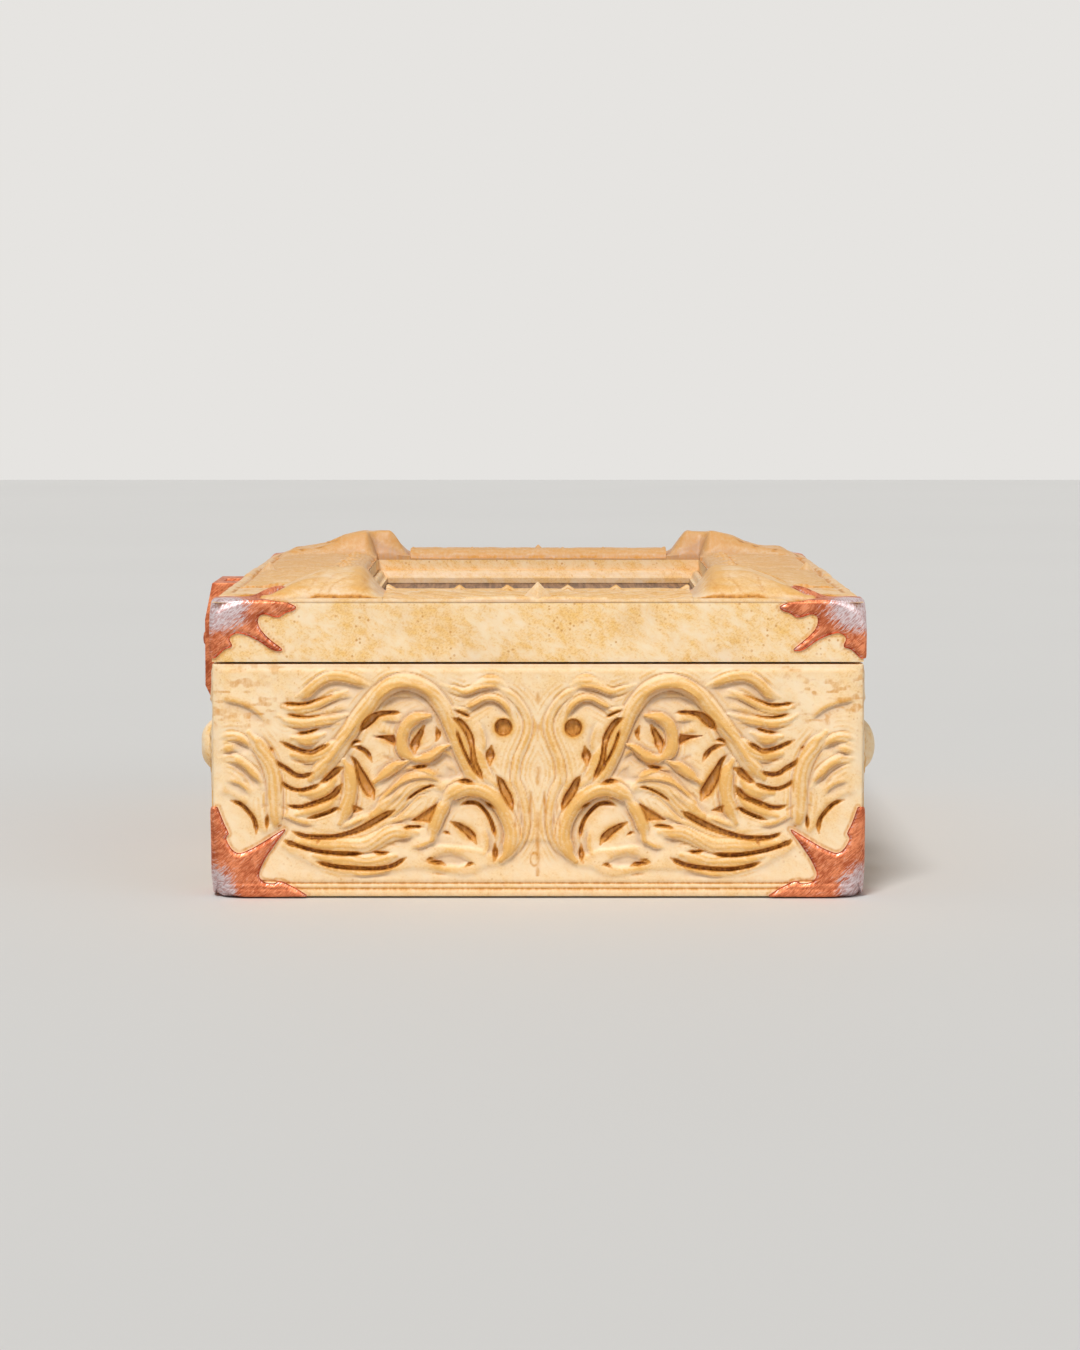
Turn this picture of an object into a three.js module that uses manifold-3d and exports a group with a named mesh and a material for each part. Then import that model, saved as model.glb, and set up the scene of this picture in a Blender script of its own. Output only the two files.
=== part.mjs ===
// A carved bone box with a hinged lid, copper corner mounts and a copper hasp.
// Millimetres. The origin is the middle of the underside. +Z is up, -X is the front (the hasp's side),
// +X is the back (the hinges' side), -Y is the right end and +Y is the left end.
import * as THREE from 'three';
import { mergeVertices } from 'three/addons/utils/BufferGeometryUtils.js';
import Module from 'manifold-3d';

const wasm = await Module();
wasm.setup();

// Box
const boxWidth = 150; // front to back
const boxLength = 220; // end to end
const baseHeight = 54.5;
const wallThickness = 8;
const seamGap = 0.4; // between the base's rim and the closed lid
const fit = 0.3; // clearance between neighbouring pieces
const floorThickness = 5;
const floorTongue = 4; // how far the floor reaches under the walls
const liningThickness = 2;
const grooveDepth = 0.4; // the two lines scored round the foot of the walls
const grooveHeights = [2, 3.3];

// Lid
const lidBand = 13.8; // height of the lid's plain sides
const railWidth = 30; // from the lid's side to its window
const railThickness = 10.3;
const panelThickness = 2.8;
const panelDrop = 6.4; // from the rails' top down to the panel's face
const panelTongue = 3.7; // how far the panel reaches into the rails
const beadWidth = 2.7;
const beadHeight = 3.2;
const friezeHeight = 2.1;
const friezeInset = 0.6; // from the lid's side to the frieze
const blockReach = 39; // from the lid's corner along each side
const domeCentre = 27; // from each side of the lid
const domeRadius = 12.5;
const domeSkirt = 2; // how far the dome's foot spreads
const domeRise = 6.6; // above the rails' top
const studRadius = 3.3;
const studHeight = 3.6;
const studInset = 5.2; // from the lid's side to the stud's middle

// Corner mounts
const mountMetal = 0.8;
const footMetal = 0.8; // the web let into the underside
const footReach = 14;
const footWidth = 3;

// Bosses on the long walls
const bossRadius = 7;
const bossRise = 5;
const bossFromEnd = 28;
const bossHeight = 33; // above the underside
const pegRadius = 2.5;
const pegLength = 4.5;

// Hinges
const hingeFromEnd = 50;
const knuckleRadius = 2;
const hingePinRadius = 0.9;
const knuckleLength = 8; // the lid leaf's one knuckle
const leafLength = 24;
const leafHeight = 11; // from the pin's axis
const leafMetal = 0.9;
const screwAlong = 8; // from the hinge's middle
const screwAbove = 7; // from the pin's axis
const screwShankRadius = 0.8;
const screwHeadRadius = 1.7;
const screwHeadHeight = 0.8;
const screwLength = 5;

// Hasp, measured from its pin's axis
const haspPinBelowTop = 4; // from the rails' top down to the pin
const haspStandoff = 4.3; // from the lid's side to the pin
const haspTop = 3;
const haspHalfWidth = 16;
const haspFace = 6; // outward to the front face
const haspTopFace = 4.1; // outward to the face at the top edge
const haspUpperBevel = 6.3; // down to where the upper bevel ends
const haspShoulder = 23.2; // down to where the taper starts
const haspTip = 40.7;
const haspTipHalfWidth = 6;
const haspTipFace = -1;
const haspPinRadius = 0.9;
const haspKnuckleRadius = 1.7;
const bracketHalfWidth = 10;
const bracketMetal = 1;
const bracketTop = 3; // down to the plate's top edge
const bracketFoot = 9.4;
const bracketKnuckleHalf = 5;
const bracketScrewAlong = 7.4;
const keeperHalfWidth = 6.2;
const keeperTop = 12;
const keeperFoot = 29.5;
const keeperMetal = 0.9;
const keeperPegRadius = 2;
const keeperPegLength = 4;
const magnetRadius = 4;
const magnetThickness = 3;
const magnetDrop = 21;
const haspStudRadius = 2.5;
const haspStudRise = 1.9;
const haspStudDrop = 12.2;
const haspStudPegRadius = 1.2;
const haspStudPegLength = 3;

// Worked out from the sizes above
const halfWidth = boxWidth / 2;
const halfLength = boxLength / 2;
const lidBottom = baseHeight + seamGap;
const lidTop = lidBottom + lidBand;
const panelTop = lidTop - panelDrop;
const mountSkin = fit + mountMetal; // from the box's face to the metal's face
const hingeStandoff = knuckleRadius + fit;
const roundSegments = 12;
const domeSegments = 20;
const past = 1; // how far a cutting tool runs past a face

// Outlines of the corner mounts, from the box's corner: along the horizontal edge, then across the face.
const lidMountSideOutline = [
  [19.4, 1.8], [15.2, 4.3], [10.9, 4.2], [11.6, 6.6], [16.6, 11.1],
  [14.2, 11.3], [7.8, 7.7], [4, 8.4], [4.8, 10.3], [0.8, 12.9],
];
const lidMountTopOutline = [
  [19.4, 1.6], [13.4, 2.9], [9.4, 5.6], [16.4, 14.9],
  [14.9, 16.4], [5.6, 9.4], [2.9, 13.4], [1.6, 19.4],
];
const baseMountSideOutline = [
  [22.4, 1.2], [16.9, 4.2], [12.9, 3.2], [11.1, 5.6], [12.9, 9.1],
  [17.7, 16.2], [12.3, 13.2], [6.7, 10.5], [4, 14.1], [4.9, 15], [1.5, 21.2],
];

// Carving on the walls. Points are on the left half of the pattern: from its middle line, then height.
const groundDepth = 0.9; // how far the ground between the strands is sunk
const strandRise = 0.5; // how far the strands stand out of the wall
const slotDepth = 1.5;
const carvingEdge = 1; // plain border along the wall's rim and ends
const carvingFoot = 5; // height of the plain foot
const strandSlope = 0.8; // how far a strand's foot spreads
const strandSteps = 5;
const slotSteps = 3;
const carvedGrounds = [
  [
    [-46, 29], [-42.5, 39], [-37.5, 46.8], [-31.3, 49.4], [-26, 47.6], [-22.3, 43], [-16, 29],
    [-20, 27], [-26, 27.3], [-31, 25], [-38, 19.4], [-44, 17.5], [-45.5, 22],
  ],
  [
    [-24, 12], [-24, 16], [-20, 23.6], [-15, 25.6], [-9.5, 22.6], [-6.3, 16.6], [-6.8, 11], [-9, 9], [-14, 11],
  ],
];
const carvedStrands = [
  {
    width: 3,
    line: [[-54, 26.4], [-46.8, 34.1], [-39.5, 45], [-31.3, 50.4], [-23.5, 46.5], [-18.3, 36], [-11, 23]],
  },
  { width: 3.6, line: [[-57, 18], [-48, 16.6], [-38, 19.4], [-31, 25], [-25.6, 27.3], [-20, 26]] },
  { width: 2.8, line: [[-24.5, 12], [-22.5, 20.5], [-15, 25.7], [-7.5, 19.6], [-6, 14], [-8.5, 8.6]] },
  { width: 2.8, line: [[-67, 38.5], [-62, 30.5], [-61, 20], [-60.5, 15]] },
  { width: 2.4, line: [[-27, 32.2], [-31, 34], [-31.2, 38.5], [-25.5, 42.6]] },
  { width: 1.6, line: [[-9.8, 49.3], [-3, 43.5], [-2.6, 37], [-5.2, 29], [-2.9, 20], [-6.8, 9.3]] },
  { width: 2.2, line: [[-58, 46.4], [-51, 51.2], [-39, 50.2]] },
];
const carvedSlots = [
  { width: 1.8, line: [[-59.8, 36.5], [-54, 34.1], [-48.3, 35.9]] },
  { width: 1.8, line: [[-60.6, 32.3], [-55, 28.4], [-51.6, 29.6]] },
  { width: 1.8, line: [[-58.5, 21.8], [-52, 22], [-45.6, 26.3]] },
  { width: 1.8, line: [[-57, 15], [-47, 14.2], [-33.2, 20.5]] },
  { width: 1.8, line: [[-51.5, 8.6], [-41, 6.8], [-30.6, 9.4]] },
  { width: 2.4, line: [[-44, 33.4], [-40.8, 28], [-38.1, 23]] },
  { width: 2, line: [[-20, 42.2], [-15.6, 37], [-12.7, 27.5]] },
  { width: 1.8, line: [[-9.7, 28.7], [-7.4, 24.4], [-5.8, 20.2]] },
];

// Solids and meshes

// A closed geometry as a solid that can be joined and cut.
function toSolid(geometry) {
  const bare = geometry.clone();
  bare.deleteAttribute('normal');
  bare.deleteAttribute('uv');
  const merged = mergeVertices(bare, 1e-4);
  return new wasm.Manifold(new wasm.Mesh({
    numProp: 3,
    vertProperties: new Float32Array(merged.attributes.position.array),
    triVerts: new Uint32Array(merged.index.array),
  }));
}

// A solid as a geometry with flat faces.
function toGeometry(solid) {
  const { numProp, vertProperties, triVerts } = solid.getMesh();
  const position = new Float32Array(triVerts.length * 3);
  triVerts.forEach((vertex, i) => {
    for (let axis = 0; axis < 3; axis += 1) {
      position[i * 3 + axis] = vertProperties[vertex * numProp + axis];
    }
  });
  const geometry = new THREE.BufferGeometry();
  geometry.setAttribute('position', new THREE.BufferAttribute(position, 3));
  geometry.computeVertexNormals();
  return geometry;
}

function joined(geometries) {
  return geometries.map(toSolid).reduce((whole, next) => whole.add(next));
}

function join(...geometries) {
  return toGeometry(joined(geometries));
}

function cut(geometry, ...tools) {
  return toGeometry(tools.map(toSolid).reduce((whole, tool) => whole.subtract(tool), toSolid(geometry)));
}

function common(a, b) {
  return toGeometry(toSolid(a).intersect(toSolid(b)));
}

// A block from its lowest to its highest corner.
function block(low, high) {
  const size = high.map((value, axis) => value - low[axis]);
  const middle = high.map((value, axis) => (value + low[axis]) / 2);
  return new THREE.BoxGeometry(...size).translate(...middle);
}

function outlineShape(points) {
  return new THREE.Shape(points.map(([u, v]) => new THREE.Vector2(u, v)));
}

// An outline in two axes, pushed from low to high along the third.
function slab(points, axis, low, high) {
  const geometry = new THREE.ExtrudeGeometry(outlineShape(points), { depth: high - low, bevelEnabled: false });
  geometry.translate(0, 0, low);
  const place = {
    x: ([u, v, w]) => [w, u, v],
    y: ([u, v, w]) => [u, w, v],
    z: ([u, v, w]) => [u, v, w],
  }[axis];
  const turned = mapPoints(geometry, place);
  return axis === 'y' ? flipFaces(turned) : turned;
}

function mapPoints(geometry, place) {
  const mapped = geometry.index ? geometry.toNonIndexed() : geometry.clone();
  const position = mapped.attributes.position;
  for (let i = 0; i < position.count; i += 1) {
    position.setXYZ(i, ...place([position.getX(i), position.getY(i), position.getZ(i)]));
  }
  return mapped;
}

// Turns every face of a geometry that mapPoints has mirrored.
function flipFaces(geometry) {
  const position = geometry.attributes.position;
  for (let i = 0; i < position.count; i += 3) {
    const second = [position.getX(i + 1), position.getY(i + 1), position.getZ(i + 1)];
    position.setXYZ(i + 1, position.getX(i + 2), position.getY(i + 2), position.getZ(i + 2));
    position.setXYZ(i + 2, ...second);
  }
  return geometry;
}

// A round bar along an axis, from low to high, centred on the other two axes at (u, v).
function bar(radius, axis, low, high, u = 0, v = 0, segments = roundSegments) {
  const geometry = new THREE.CylinderGeometry(radius, radius, high - low, segments);
  const middle = (low + high) / 2;
  if (axis === 'x') return geometry.rotateZ(-Math.PI / 2).translate(middle, u, v);
  if (axis === 'y') return geometry.translate(u, middle, v);
  return geometry.rotateX(Math.PI / 2).translate(u, v, middle);
}

// A turned piece along +X: a dome or head outside x = 0 and a shank inside it.
function turned(profile, segments = roundSegments) {
  const points = profile.map(([radius, x]) => new THREE.Vector2(radius, x));
  return new THREE.LatheGeometry(points, segments).rotateZ(-Math.PI / 2);
}

// A bar along local X with its ends mitred. Its profile is [in from the side, height] and its side faces local -Y.
function mitredBar(profile, halfSpan) {
  const geometry = new THREE.ExtrudeGeometry(outlineShape(profile), { depth: 1, bevelEnabled: false });
  const mitreGap = (fit / 2) * Math.SQRT2;
  return mapPoints(geometry, ([inward, height, end]) => [
    (end > 0.5 ? 1 : -1) * (halfSpan - inward - mitreGap), inward, height,
  ]);
}

function material(color, roughness, metalness) {
  return new THREE.MeshStandardMaterial({ color, roughness, metalness });
}
const bone = material(0xf2d3a0, 0.55, 0);
const carvedBone = material(0xe9c48c, 0.6, 0);
const stainedWood = material(0x6b4630, 0.5, 0);
const felt = material(0x4a1f1c, 0.95, 0);
const copper = material(0xc8704a, 0.35, 0.9);
const steel = material(0x9a9a98, 0.35, 1);

const box = new THREE.Group();

function add(name, geometry, finish, parent = box) {
  const mesh = new THREE.Mesh(geometry, finish);
  mesh.name = name;
  parent.add(mesh);
  return mesh;
}

// The four sides, each a group whose local -Y faces out of the box.
const sides = [
  { name: 'right_end', span: halfLength, half: halfWidth, turn: 0 },
  { name: 'left_end', span: halfLength, half: halfWidth, turn: Math.PI },
  { name: 'front', span: halfWidth, half: halfLength, turn: -Math.PI / 2 },
  { name: 'back', span: halfWidth, half: halfLength, turn: Math.PI / 2 },
];

function sideGroup(side) {
  const group = new THREE.Group();
  group.rotation.z = side.turn;
  group.position.set(Math.sin(side.turn) * side.span, -Math.cos(side.turn) * side.span, 0);
  box.add(group);
  return group;
}

// The four corners, each a group whose local axes run inward along the box's edges.
const corners = [
  { name: 'front_right', x: -1, y: -1 },
  { name: 'back_right', x: 1, y: -1 },
  { name: 'front_left', x: -1, y: 1 },
  { name: 'back_left', x: 1, y: 1 },
];

function cornerGroup(corner, height, up) {
  const group = new THREE.Group();
  group.position.set(corner.x * halfWidth, corner.y * halfLength, height);
  group.scale.set(-corner.x, -corner.y, up);
  box.add(group);
  return group;
}

// Base

const screwHoleRadius = screwShankRadius + fit;
const hingeAxisHeight = baseHeight + seamGap / 2;
const haspAxisHeight = lidTop - haspPinBelowTop;
const hingePlaces = [-1, 1].map((side) => side * (halfLength - hingeFromEnd));
const bossPlaces = [-1, 1].map((side) => side * (halfLength - bossFromEnd));

function wallProfile() {
  const grooves = grooveHeights.flatMap((height) => [
    [0, height - grooveDepth], [grooveDepth, height], [0, height + grooveDepth],
  ]);
  const rebate = floorThickness + fit;
  return [
    [0, 0], ...grooves, [0, baseHeight],
    [wallThickness, baseHeight], [wallThickness, rebate], [floorTongue, rebate], [floorTongue, 0],
  ];
}

function slotBlock(end, half, along, across, deep) {
  const [low, high] = [end * half, end * (half - along)].sort((a, b) => a - b);
  return block([low, -past, -past], [high, across, deep]);
}

// The slots under a wall's ends that take the corner mounts' webs.
function footSlots(half) {
  const deep = footMetal + fit;
  const wide = footWidth + fit;
  const long = footReach + fit;
  return [-1, 1].flatMap((end) => [
    slotBlock(end, half, long, wide, deep),
    slotBlock(end, half, wide, long, deep),
  ]);
}

// Holes into a side, drilled along local +Y from its face at [along, height].
function drilled(places, radius, depth) {
  return places.map(([along, height]) => bar(radius, 'y', -past, depth, along, height));
}

const bossHoles = drilled(bossPlaces.map((y) => [y, bossHeight]), pegRadius + fit, pegLength + 2 * fit);
const screwHoleDepth = screwLength + 2 * fit;
const hingeScrewPlaces = hingePlaces.flatMap((y) => [y - screwAlong, y + screwAlong]);
const wallHoles = {
  front: [
    ...bossHoles,
    ...drilled([[0, haspAxisHeight - magnetDrop]], keeperPegRadius + fit, keeperPegLength + 2 * fit),
  ],
  back: [
    ...bossHoles,
    ...drilled(hingeScrewPlaces.map((y) => [y, hingeAxisHeight - screwAbove]), screwHoleRadius, screwHoleDepth),
  ],
};

// A section of [outward, across] points, swept along a smooth line over a wall's face.
function swept(line, section, steps) {
  const extrudePath = new THREE.CatmullRomCurve3(line.map(([x, z]) => new THREE.Vector3(x, 0, z)));
  return new THREE.ExtrudeGeometry(outlineShape(section), { steps, bevelEnabled: false, extrudePath });
}

function carvedStrand({ width, line }) {
  const foot = width / 2 + strandSlope;
  const crest = width / 2 - strandSlope / 2;
  const buried = -groundDepth - fit;
  const section = [[buried, -foot], [strandRise, -crest], [strandRise, crest], [buried, foot]];
  return swept(line, section, strandSteps);
}

function carvedSlot({ width, line }) {
  const open = strandRise + past;
  const mouth = (width / 2) * (1 + open / slotDepth);
  return swept(line, [[-slotDepth, 0], [open, -mouth], [open, mouth]], slotSteps);
}

const carvingHalf = {
  grounds: join(...carvedGrounds.map((outline) => slab(outline, 'y', -past, groundDepth))),
  strands: join(...carvedStrands.map(carvedStrand)),
  slots: join(...carvedSlots.map(carvedSlot)),
};

// One part of the pattern as a solid, with both its halves mirrored about each of a wall's middle lines.
function patterned(part, side) {
  const reach = side.half - halfWidth;
  const middles = reach > 0 ? [-reach, reach] : [0];
  const tall = 2 * baseHeight;
  return middles.map((middle) => {
    const halves = [-1, 1].map((way) => {
      const placed = mapPoints(carvingHalf[part], ([x, y, z]) => [middle - way * x, y, z]);
      return way > 0 ? flipFaces(placed) : placed;
    });
    const share = block(
      [middle > 0 ? 0 : -side.half, -tall, -tall],
      [middle < 0 ? 0 : side.half, tall, tall],
    );
    return joined(halves).intersect(toSolid(share));
  }).reduce((whole, next) => whole.add(next));
}

// The plain places on a wall: its foot, rim and ends, and round what is fixed to it.
function plainPlaces(side) {
  const low = -strandRise - 2 * past;
  const high = slotDepth + past;
  const rim = baseHeight - carvingEdge;
  const end = side.half - carvingEdge;
  const mountPlan = grown(wrapped(baseMountSideOutline, -mountSkin, 0), 2 * fit);
  const leftMount = slab(mountPlan, 'y', low, high).translate(-side.half, 0, 0);
  const rightMount = flipFaces(mapPoints(leftMount, ([x, y, z]) => [-x, y, z]));
  const edges = [
    block([-side.half, low, -past], [side.half, high, carvingFoot]),
    block([-side.half, low, rim], [side.half, high, baseHeight + past]),
    block([-side.half - past, low, -past], [-end, high, baseHeight + past]),
    block([end, low, -past], [side.half + past, high, baseHeight + past]),
  ];
  return [...edges, leftMount, rightMount, ...(fixedPlaces(low, high)[side.name] ?? [])];
}

function fixedPlaces(low, high) {
  const bosses = bossPlaces.map((y) => bar(bossRadius + fit, 'y', low, high, y, bossHeight, domeSegments));
  const hingeHalf = leafLength / 2 + 2 * fit;
  const hingeFoot = hingeAxisHeight - leafHeight - 2 * fit;
  const hinges = hingePlaces.map((y) => (
    block([y - hingeHalf, low, hingeFoot], [y + hingeHalf, high, baseHeight + past])
  ));
  const hasp = block(
    [-haspHalfWidth - 2 * fit, low, haspAxisHeight - haspTip - 2 * fit],
    [haspHalfWidth + 2 * fit, high, baseHeight + past],
  );
  return { front: [...bosses, hasp], back: [...bosses, ...hinges] };
}

function carvedWall(side) {
  const plain = joined(plainPlaces(side));
  const [grounds, strands, slots] = ['grounds', 'strands', 'slots'].map((part) => (
    patterned(part, side).subtract(plain)
  ));
  const holes = joined([...footSlots(side.half), ...(wallHoles[side.name] ?? [])]);
  const wall = toSolid(mitredBar(wallProfile(), side.half));
  return toGeometry(wall.subtract(grounds).add(strands).subtract(slots).subtract(holes));
}

for (const side of sides) {
  add(`base_${side.name}_wall`, carvedWall(side), carvedBone, sideGroup(side));
}

const floorInset = floorTongue + fit;
add('base_floor', block(
  [floorInset - halfWidth, floorInset - halfLength, 0],
  [halfWidth - floorInset, halfLength - floorInset, floorThickness],
), bone);

const liningInset = wallThickness + fit;
const liningBottom = floorThickness + fit;
add('base_lining', block(
  [liningInset - halfWidth, liningInset - halfLength, liningBottom],
  [halfWidth - liningInset, halfLength - liningInset, liningBottom + liningThickness],
), felt);

// Bosses on the long walls: a low dome on a peg.
function sideBoss() {
  return turned([
    [0, -pegLength], [pegRadius, -pegLength], [pegRadius, fit], [bossRadius, fit], [bossRadius * 0.97, bossRise * 0.35],
    [bossRadius * 0.8, bossRise * 0.7], [bossRadius * 0.45, bossRise * 0.93], [0, bossRise],
  ], domeSegments);
}

for (const corner of corners) {
  const boss = add(`side_boss_${corner.name}`, sideBoss(), bone);
  boss.position.set(corner.x * halfWidth, corner.y * (halfLength - bossFromEnd), bossHeight);
  boss.rotation.z = corner.x < 0 ? Math.PI : 0;
}

// Corner mounts: three plates of copper that wrap a corner, in the corner's own axes.
function wrapped(outline, first, second) {
  const start = outline[0];
  const end = outline.at(-1);
  return [[first, second], [start[0], second], ...outline, [first, end[1]]];
}

function lidMount() {
  const onEnd = slab(wrapped(lidMountSideOutline, -mountSkin, -mountSkin), 'y', -mountSkin, -fit);
  const onSide = slab(wrapped(lidMountSideOutline, -mountSkin, -mountSkin), 'x', -mountSkin, -fit);
  const onTop = slab(wrapped(lidMountTopOutline, -mountSkin, -mountSkin), 'z', -mountSkin, -fit);
  return join(onEnd, onSide, onTop);
}

function baseMount() {
  const onEnd = slab(wrapped(baseMountSideOutline, -mountSkin, 0), 'y', -mountSkin, -fit);
  const onSide = slab(wrapped(baseMountSideOutline, -mountSkin, 0), 'x', -mountSkin, -fit);
  const web = slab([
    [-mountSkin, -mountSkin], [footReach, -mountSkin], [footReach, footWidth],
    [footWidth, footWidth], [footWidth, footReach], [-mountSkin, footReach],
  ], 'z', 0, footMetal);
  return join(onEnd, onSide, web);
}

for (const corner of corners) {
  add(`base_mount_${corner.name}`, baseMount(), copper, cornerGroup(corner, 0, 1));
  add(`lid_mount_${corner.name}`, lidMount(), copper, cornerGroup(corner, lidTop, -1));
}

// Lid

function railProfile() {
  const bottom = lidTop - railThickness;
  const grooveFoot = panelTop - panelThickness - fit;
  return [
    [0, lidBottom], [wallThickness, lidBottom], [wallThickness, bottom], [railWidth, bottom],
    [railWidth, grooveFoot], [railWidth - panelTongue - fit, grooveFoot],
    [railWidth - panelTongue - fit, panelTop + fit], [railWidth, panelTop + fit],
    [railWidth, lidTop], [0, lidTop],
  ];
}

const railHoles = {
  front: drilled(
    [-bracketScrewAlong, bracketScrewAlong].map((y) => [y, haspAxisHeight - (bracketTop + bracketFoot) / 2]),
    screwHoleRadius, screwHoleDepth,
  ),
  back: drilled(hingeScrewPlaces.map((y) => [y, hingeAxisHeight + screwAbove]), screwHoleRadius, screwHoleDepth),
};

for (const side of sides) {
  const rail = mitredBar(railProfile(), side.half);
  const holes = railHoles[side.name] ?? [];
  add(`lid_${side.name}_rail`, cut(rail, ...holes), bone, sideGroup(side));
}

const panelInset = railWidth - panelTongue;
add('lid_panel', block(
  [panelInset - halfWidth, panelInset - halfLength, panelTop - panelThickness],
  [halfWidth - panelInset, halfLength - panelInset, panelTop],
), stainedWood);

// The bead that holds the panel down, standing inside the rails.
const beadInset = railWidth + fit;
const beadBottom = panelTop + fit;
add('lid_window_bead', cut(
  block(
    [beadInset - halfWidth, beadInset - halfLength, beadBottom],
    [halfWidth - beadInset, halfLength - beadInset, beadBottom + beadHeight],
  ),
  block(
    [beadInset + beadWidth - halfWidth, beadInset + beadWidth - halfLength, beadBottom - past],
    [halfWidth - beadInset - beadWidth, halfLength - beadInset - beadWidth, beadBottom + beadHeight + past],
  ),
), bone);

// Friezes between the corner blocks, each with a socket for its stud.
const friezeTop = lidTop + friezeHeight;

function frieze(side) {
  const half = side.half - blockReach - fit;
  const slope = friezeHeight - fit;
  const profile = [
    [friezeInset, lidTop + fit], [railWidth, lidTop + fit], [railWidth, friezeTop],
    [friezeInset + slope, friezeTop], [friezeInset, lidTop + fit + slope / 3],
  ];
  const socket = new THREE.CylinderGeometry(studRadius + 2 * fit, studRadius + 2 * fit, 4 * friezeHeight, 4)
    .rotateX(Math.PI / 2)
    .translate(0, studInset, lidTop);
  return cut(slab(profile, 'x', -half, half), socket);
}

function stud() {
  return new THREE.ConeGeometry(studRadius, studHeight, 4).rotateX(Math.PI / 2).translate(0, 0, studHeight / 2);
}

for (const side of sides) {
  const group = sideGroup(side);
  add(`lid_${side.name}_frieze`, frieze(side), carvedBone, group);
  add(`lid_${side.name}_stud`, stud(), bone, group).position.set(0, studInset, lidTop + fit);
}

// Corner blocks: a low slab that rises to a dome, open over the window and round the corner mount.
function grown(outline, by) {
  const count = outline.length;
  const edge = (i) => {
    const [ax, ay] = outline[i % count];
    const [bx, by_] = outline[(i + 1) % count];
    const length = Math.hypot(bx - ax, by_ - ay);
    const normal = [(by_ - ay) / length, (ax - bx) / length];
    return { normal, reach: normal[0] * ax + normal[1] * ay + by };
  };
  return outline.map((_, i) => {
    const before = edge(i + count - 1);
    const after = edge(i);
    const turn = before.normal[0] * after.normal[1] - before.normal[1] * after.normal[0];
    return [
      (before.reach * after.normal[1] - after.reach * before.normal[1]) / turn,
      (after.reach * before.normal[0] - before.reach * after.normal[0]) / turn,
    ];
  });
}

function cornerBlock() {
  const plan = [
    [friezeInset, friezeInset], [blockReach, friezeInset], [blockReach, railWidth],
    [railWidth, railWidth], [railWidth, blockReach], [friezeInset, blockReach],
  ];
  const slope = friezeHeight - fit;
  const low = slab(plan, 'z', fit, fit + slope);
  const dome = new THREE.LatheGeometry([
    [0, fit], [domeRadius + domeSkirt, fit], [domeRadius, friezeHeight], [domeRadius * 0.82, domeRise * 0.62],
    [domeRadius * 0.62, domeRise * 0.88], [domeRadius * 0.36, domeRise], [0, domeRise],
  ].map(([radius, height]) => new THREE.Vector2(radius, height)), domeSegments)
    .rotateX(Math.PI / 2)
    .translate(domeCentre, domeCentre, 0);
  const overPlan = slab(plan, 'z', 0, domeRise + past);
  const mountPlan = wrapped(lidMountTopOutline, -mountSkin, -mountSkin);
  const seat = slab(grown(mountPlan, fit), 'z', -past, domeRise + past);
  return cut(join(low, common(dome, overPlan)), seat);
}

for (const corner of corners) {
  const group = new THREE.Group();
  group.position.set(corner.x * halfWidth, corner.y * halfLength, lidTop);
  group.scale.set(-corner.x, -corner.y, 1);
  box.add(group);
  add(`lid_block_${corner.name}`, cornerBlock(), carvedBone, group);
}

// Screws, with the head outside x = 0 and the shank inside it.
function screw(shankLength) {
  return turned([
    [0, -shankLength], [screwShankRadius, -shankLength], [screwShankRadius, 0], [screwHeadRadius, 0],
    [screwHeadRadius * 0.8, screwHeadHeight * 0.7], [0, screwHeadHeight],
  ]);
}

// Hinges, each in a group on its pin's axis with local +X out of the box's back.
const leafFace = leafMetal - knuckleRadius; // the leaf's outer face
const knuckleHalf = knuckleLength / 2;
const leafHalf = leafLength / 2;

function leaf(up, spans) {
  const ends = [up * (knuckleRadius + fit), up * leafHeight].sort((a, b) => a - b);
  const tabs = [0, up * (knuckleRadius + 2 * fit)].sort((a, b) => a - b);
  const plate = block([-knuckleRadius, -leafHalf, ends[0]], [leafFace, leafHalf, ends[1]]);
  const knuckles = spans.map(([low, high]) => bar(knuckleRadius, 'y', low, high));
  const arms = spans.map(([low, high]) => block([-knuckleRadius, low, tabs[0]], [leafFace, high, tabs[1]]));
  const holes = [-screwAlong, screwAlong].map((along) => (
    bar(screwHoleRadius, 'x', -2 * knuckleRadius, knuckleRadius, along, up * screwAbove)
  ));
  const bore = bar(hingePinRadius + fit, 'y', -leafLength, leafLength);
  return cut(join(plate, ...knuckles, ...arms), bore, ...holes);
}

function hingePin() {
  const shankEnd = leafHalf + fit;
  const headRadius = knuckleRadius * 0.85;
  return new THREE.LatheGeometry([
    [0, -shankEnd - leafMetal], [headRadius, -shankEnd - leafMetal], [headRadius, -shankEnd],
    [hingePinRadius, -shankEnd], [hingePinRadius, shankEnd],
    [headRadius, shankEnd], [headRadius, shankEnd + leafMetal], [0, shankEnd + leafMetal],
  ].map(([radius, y]) => new THREE.Vector2(radius, y)), roundSegments);
}

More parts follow.
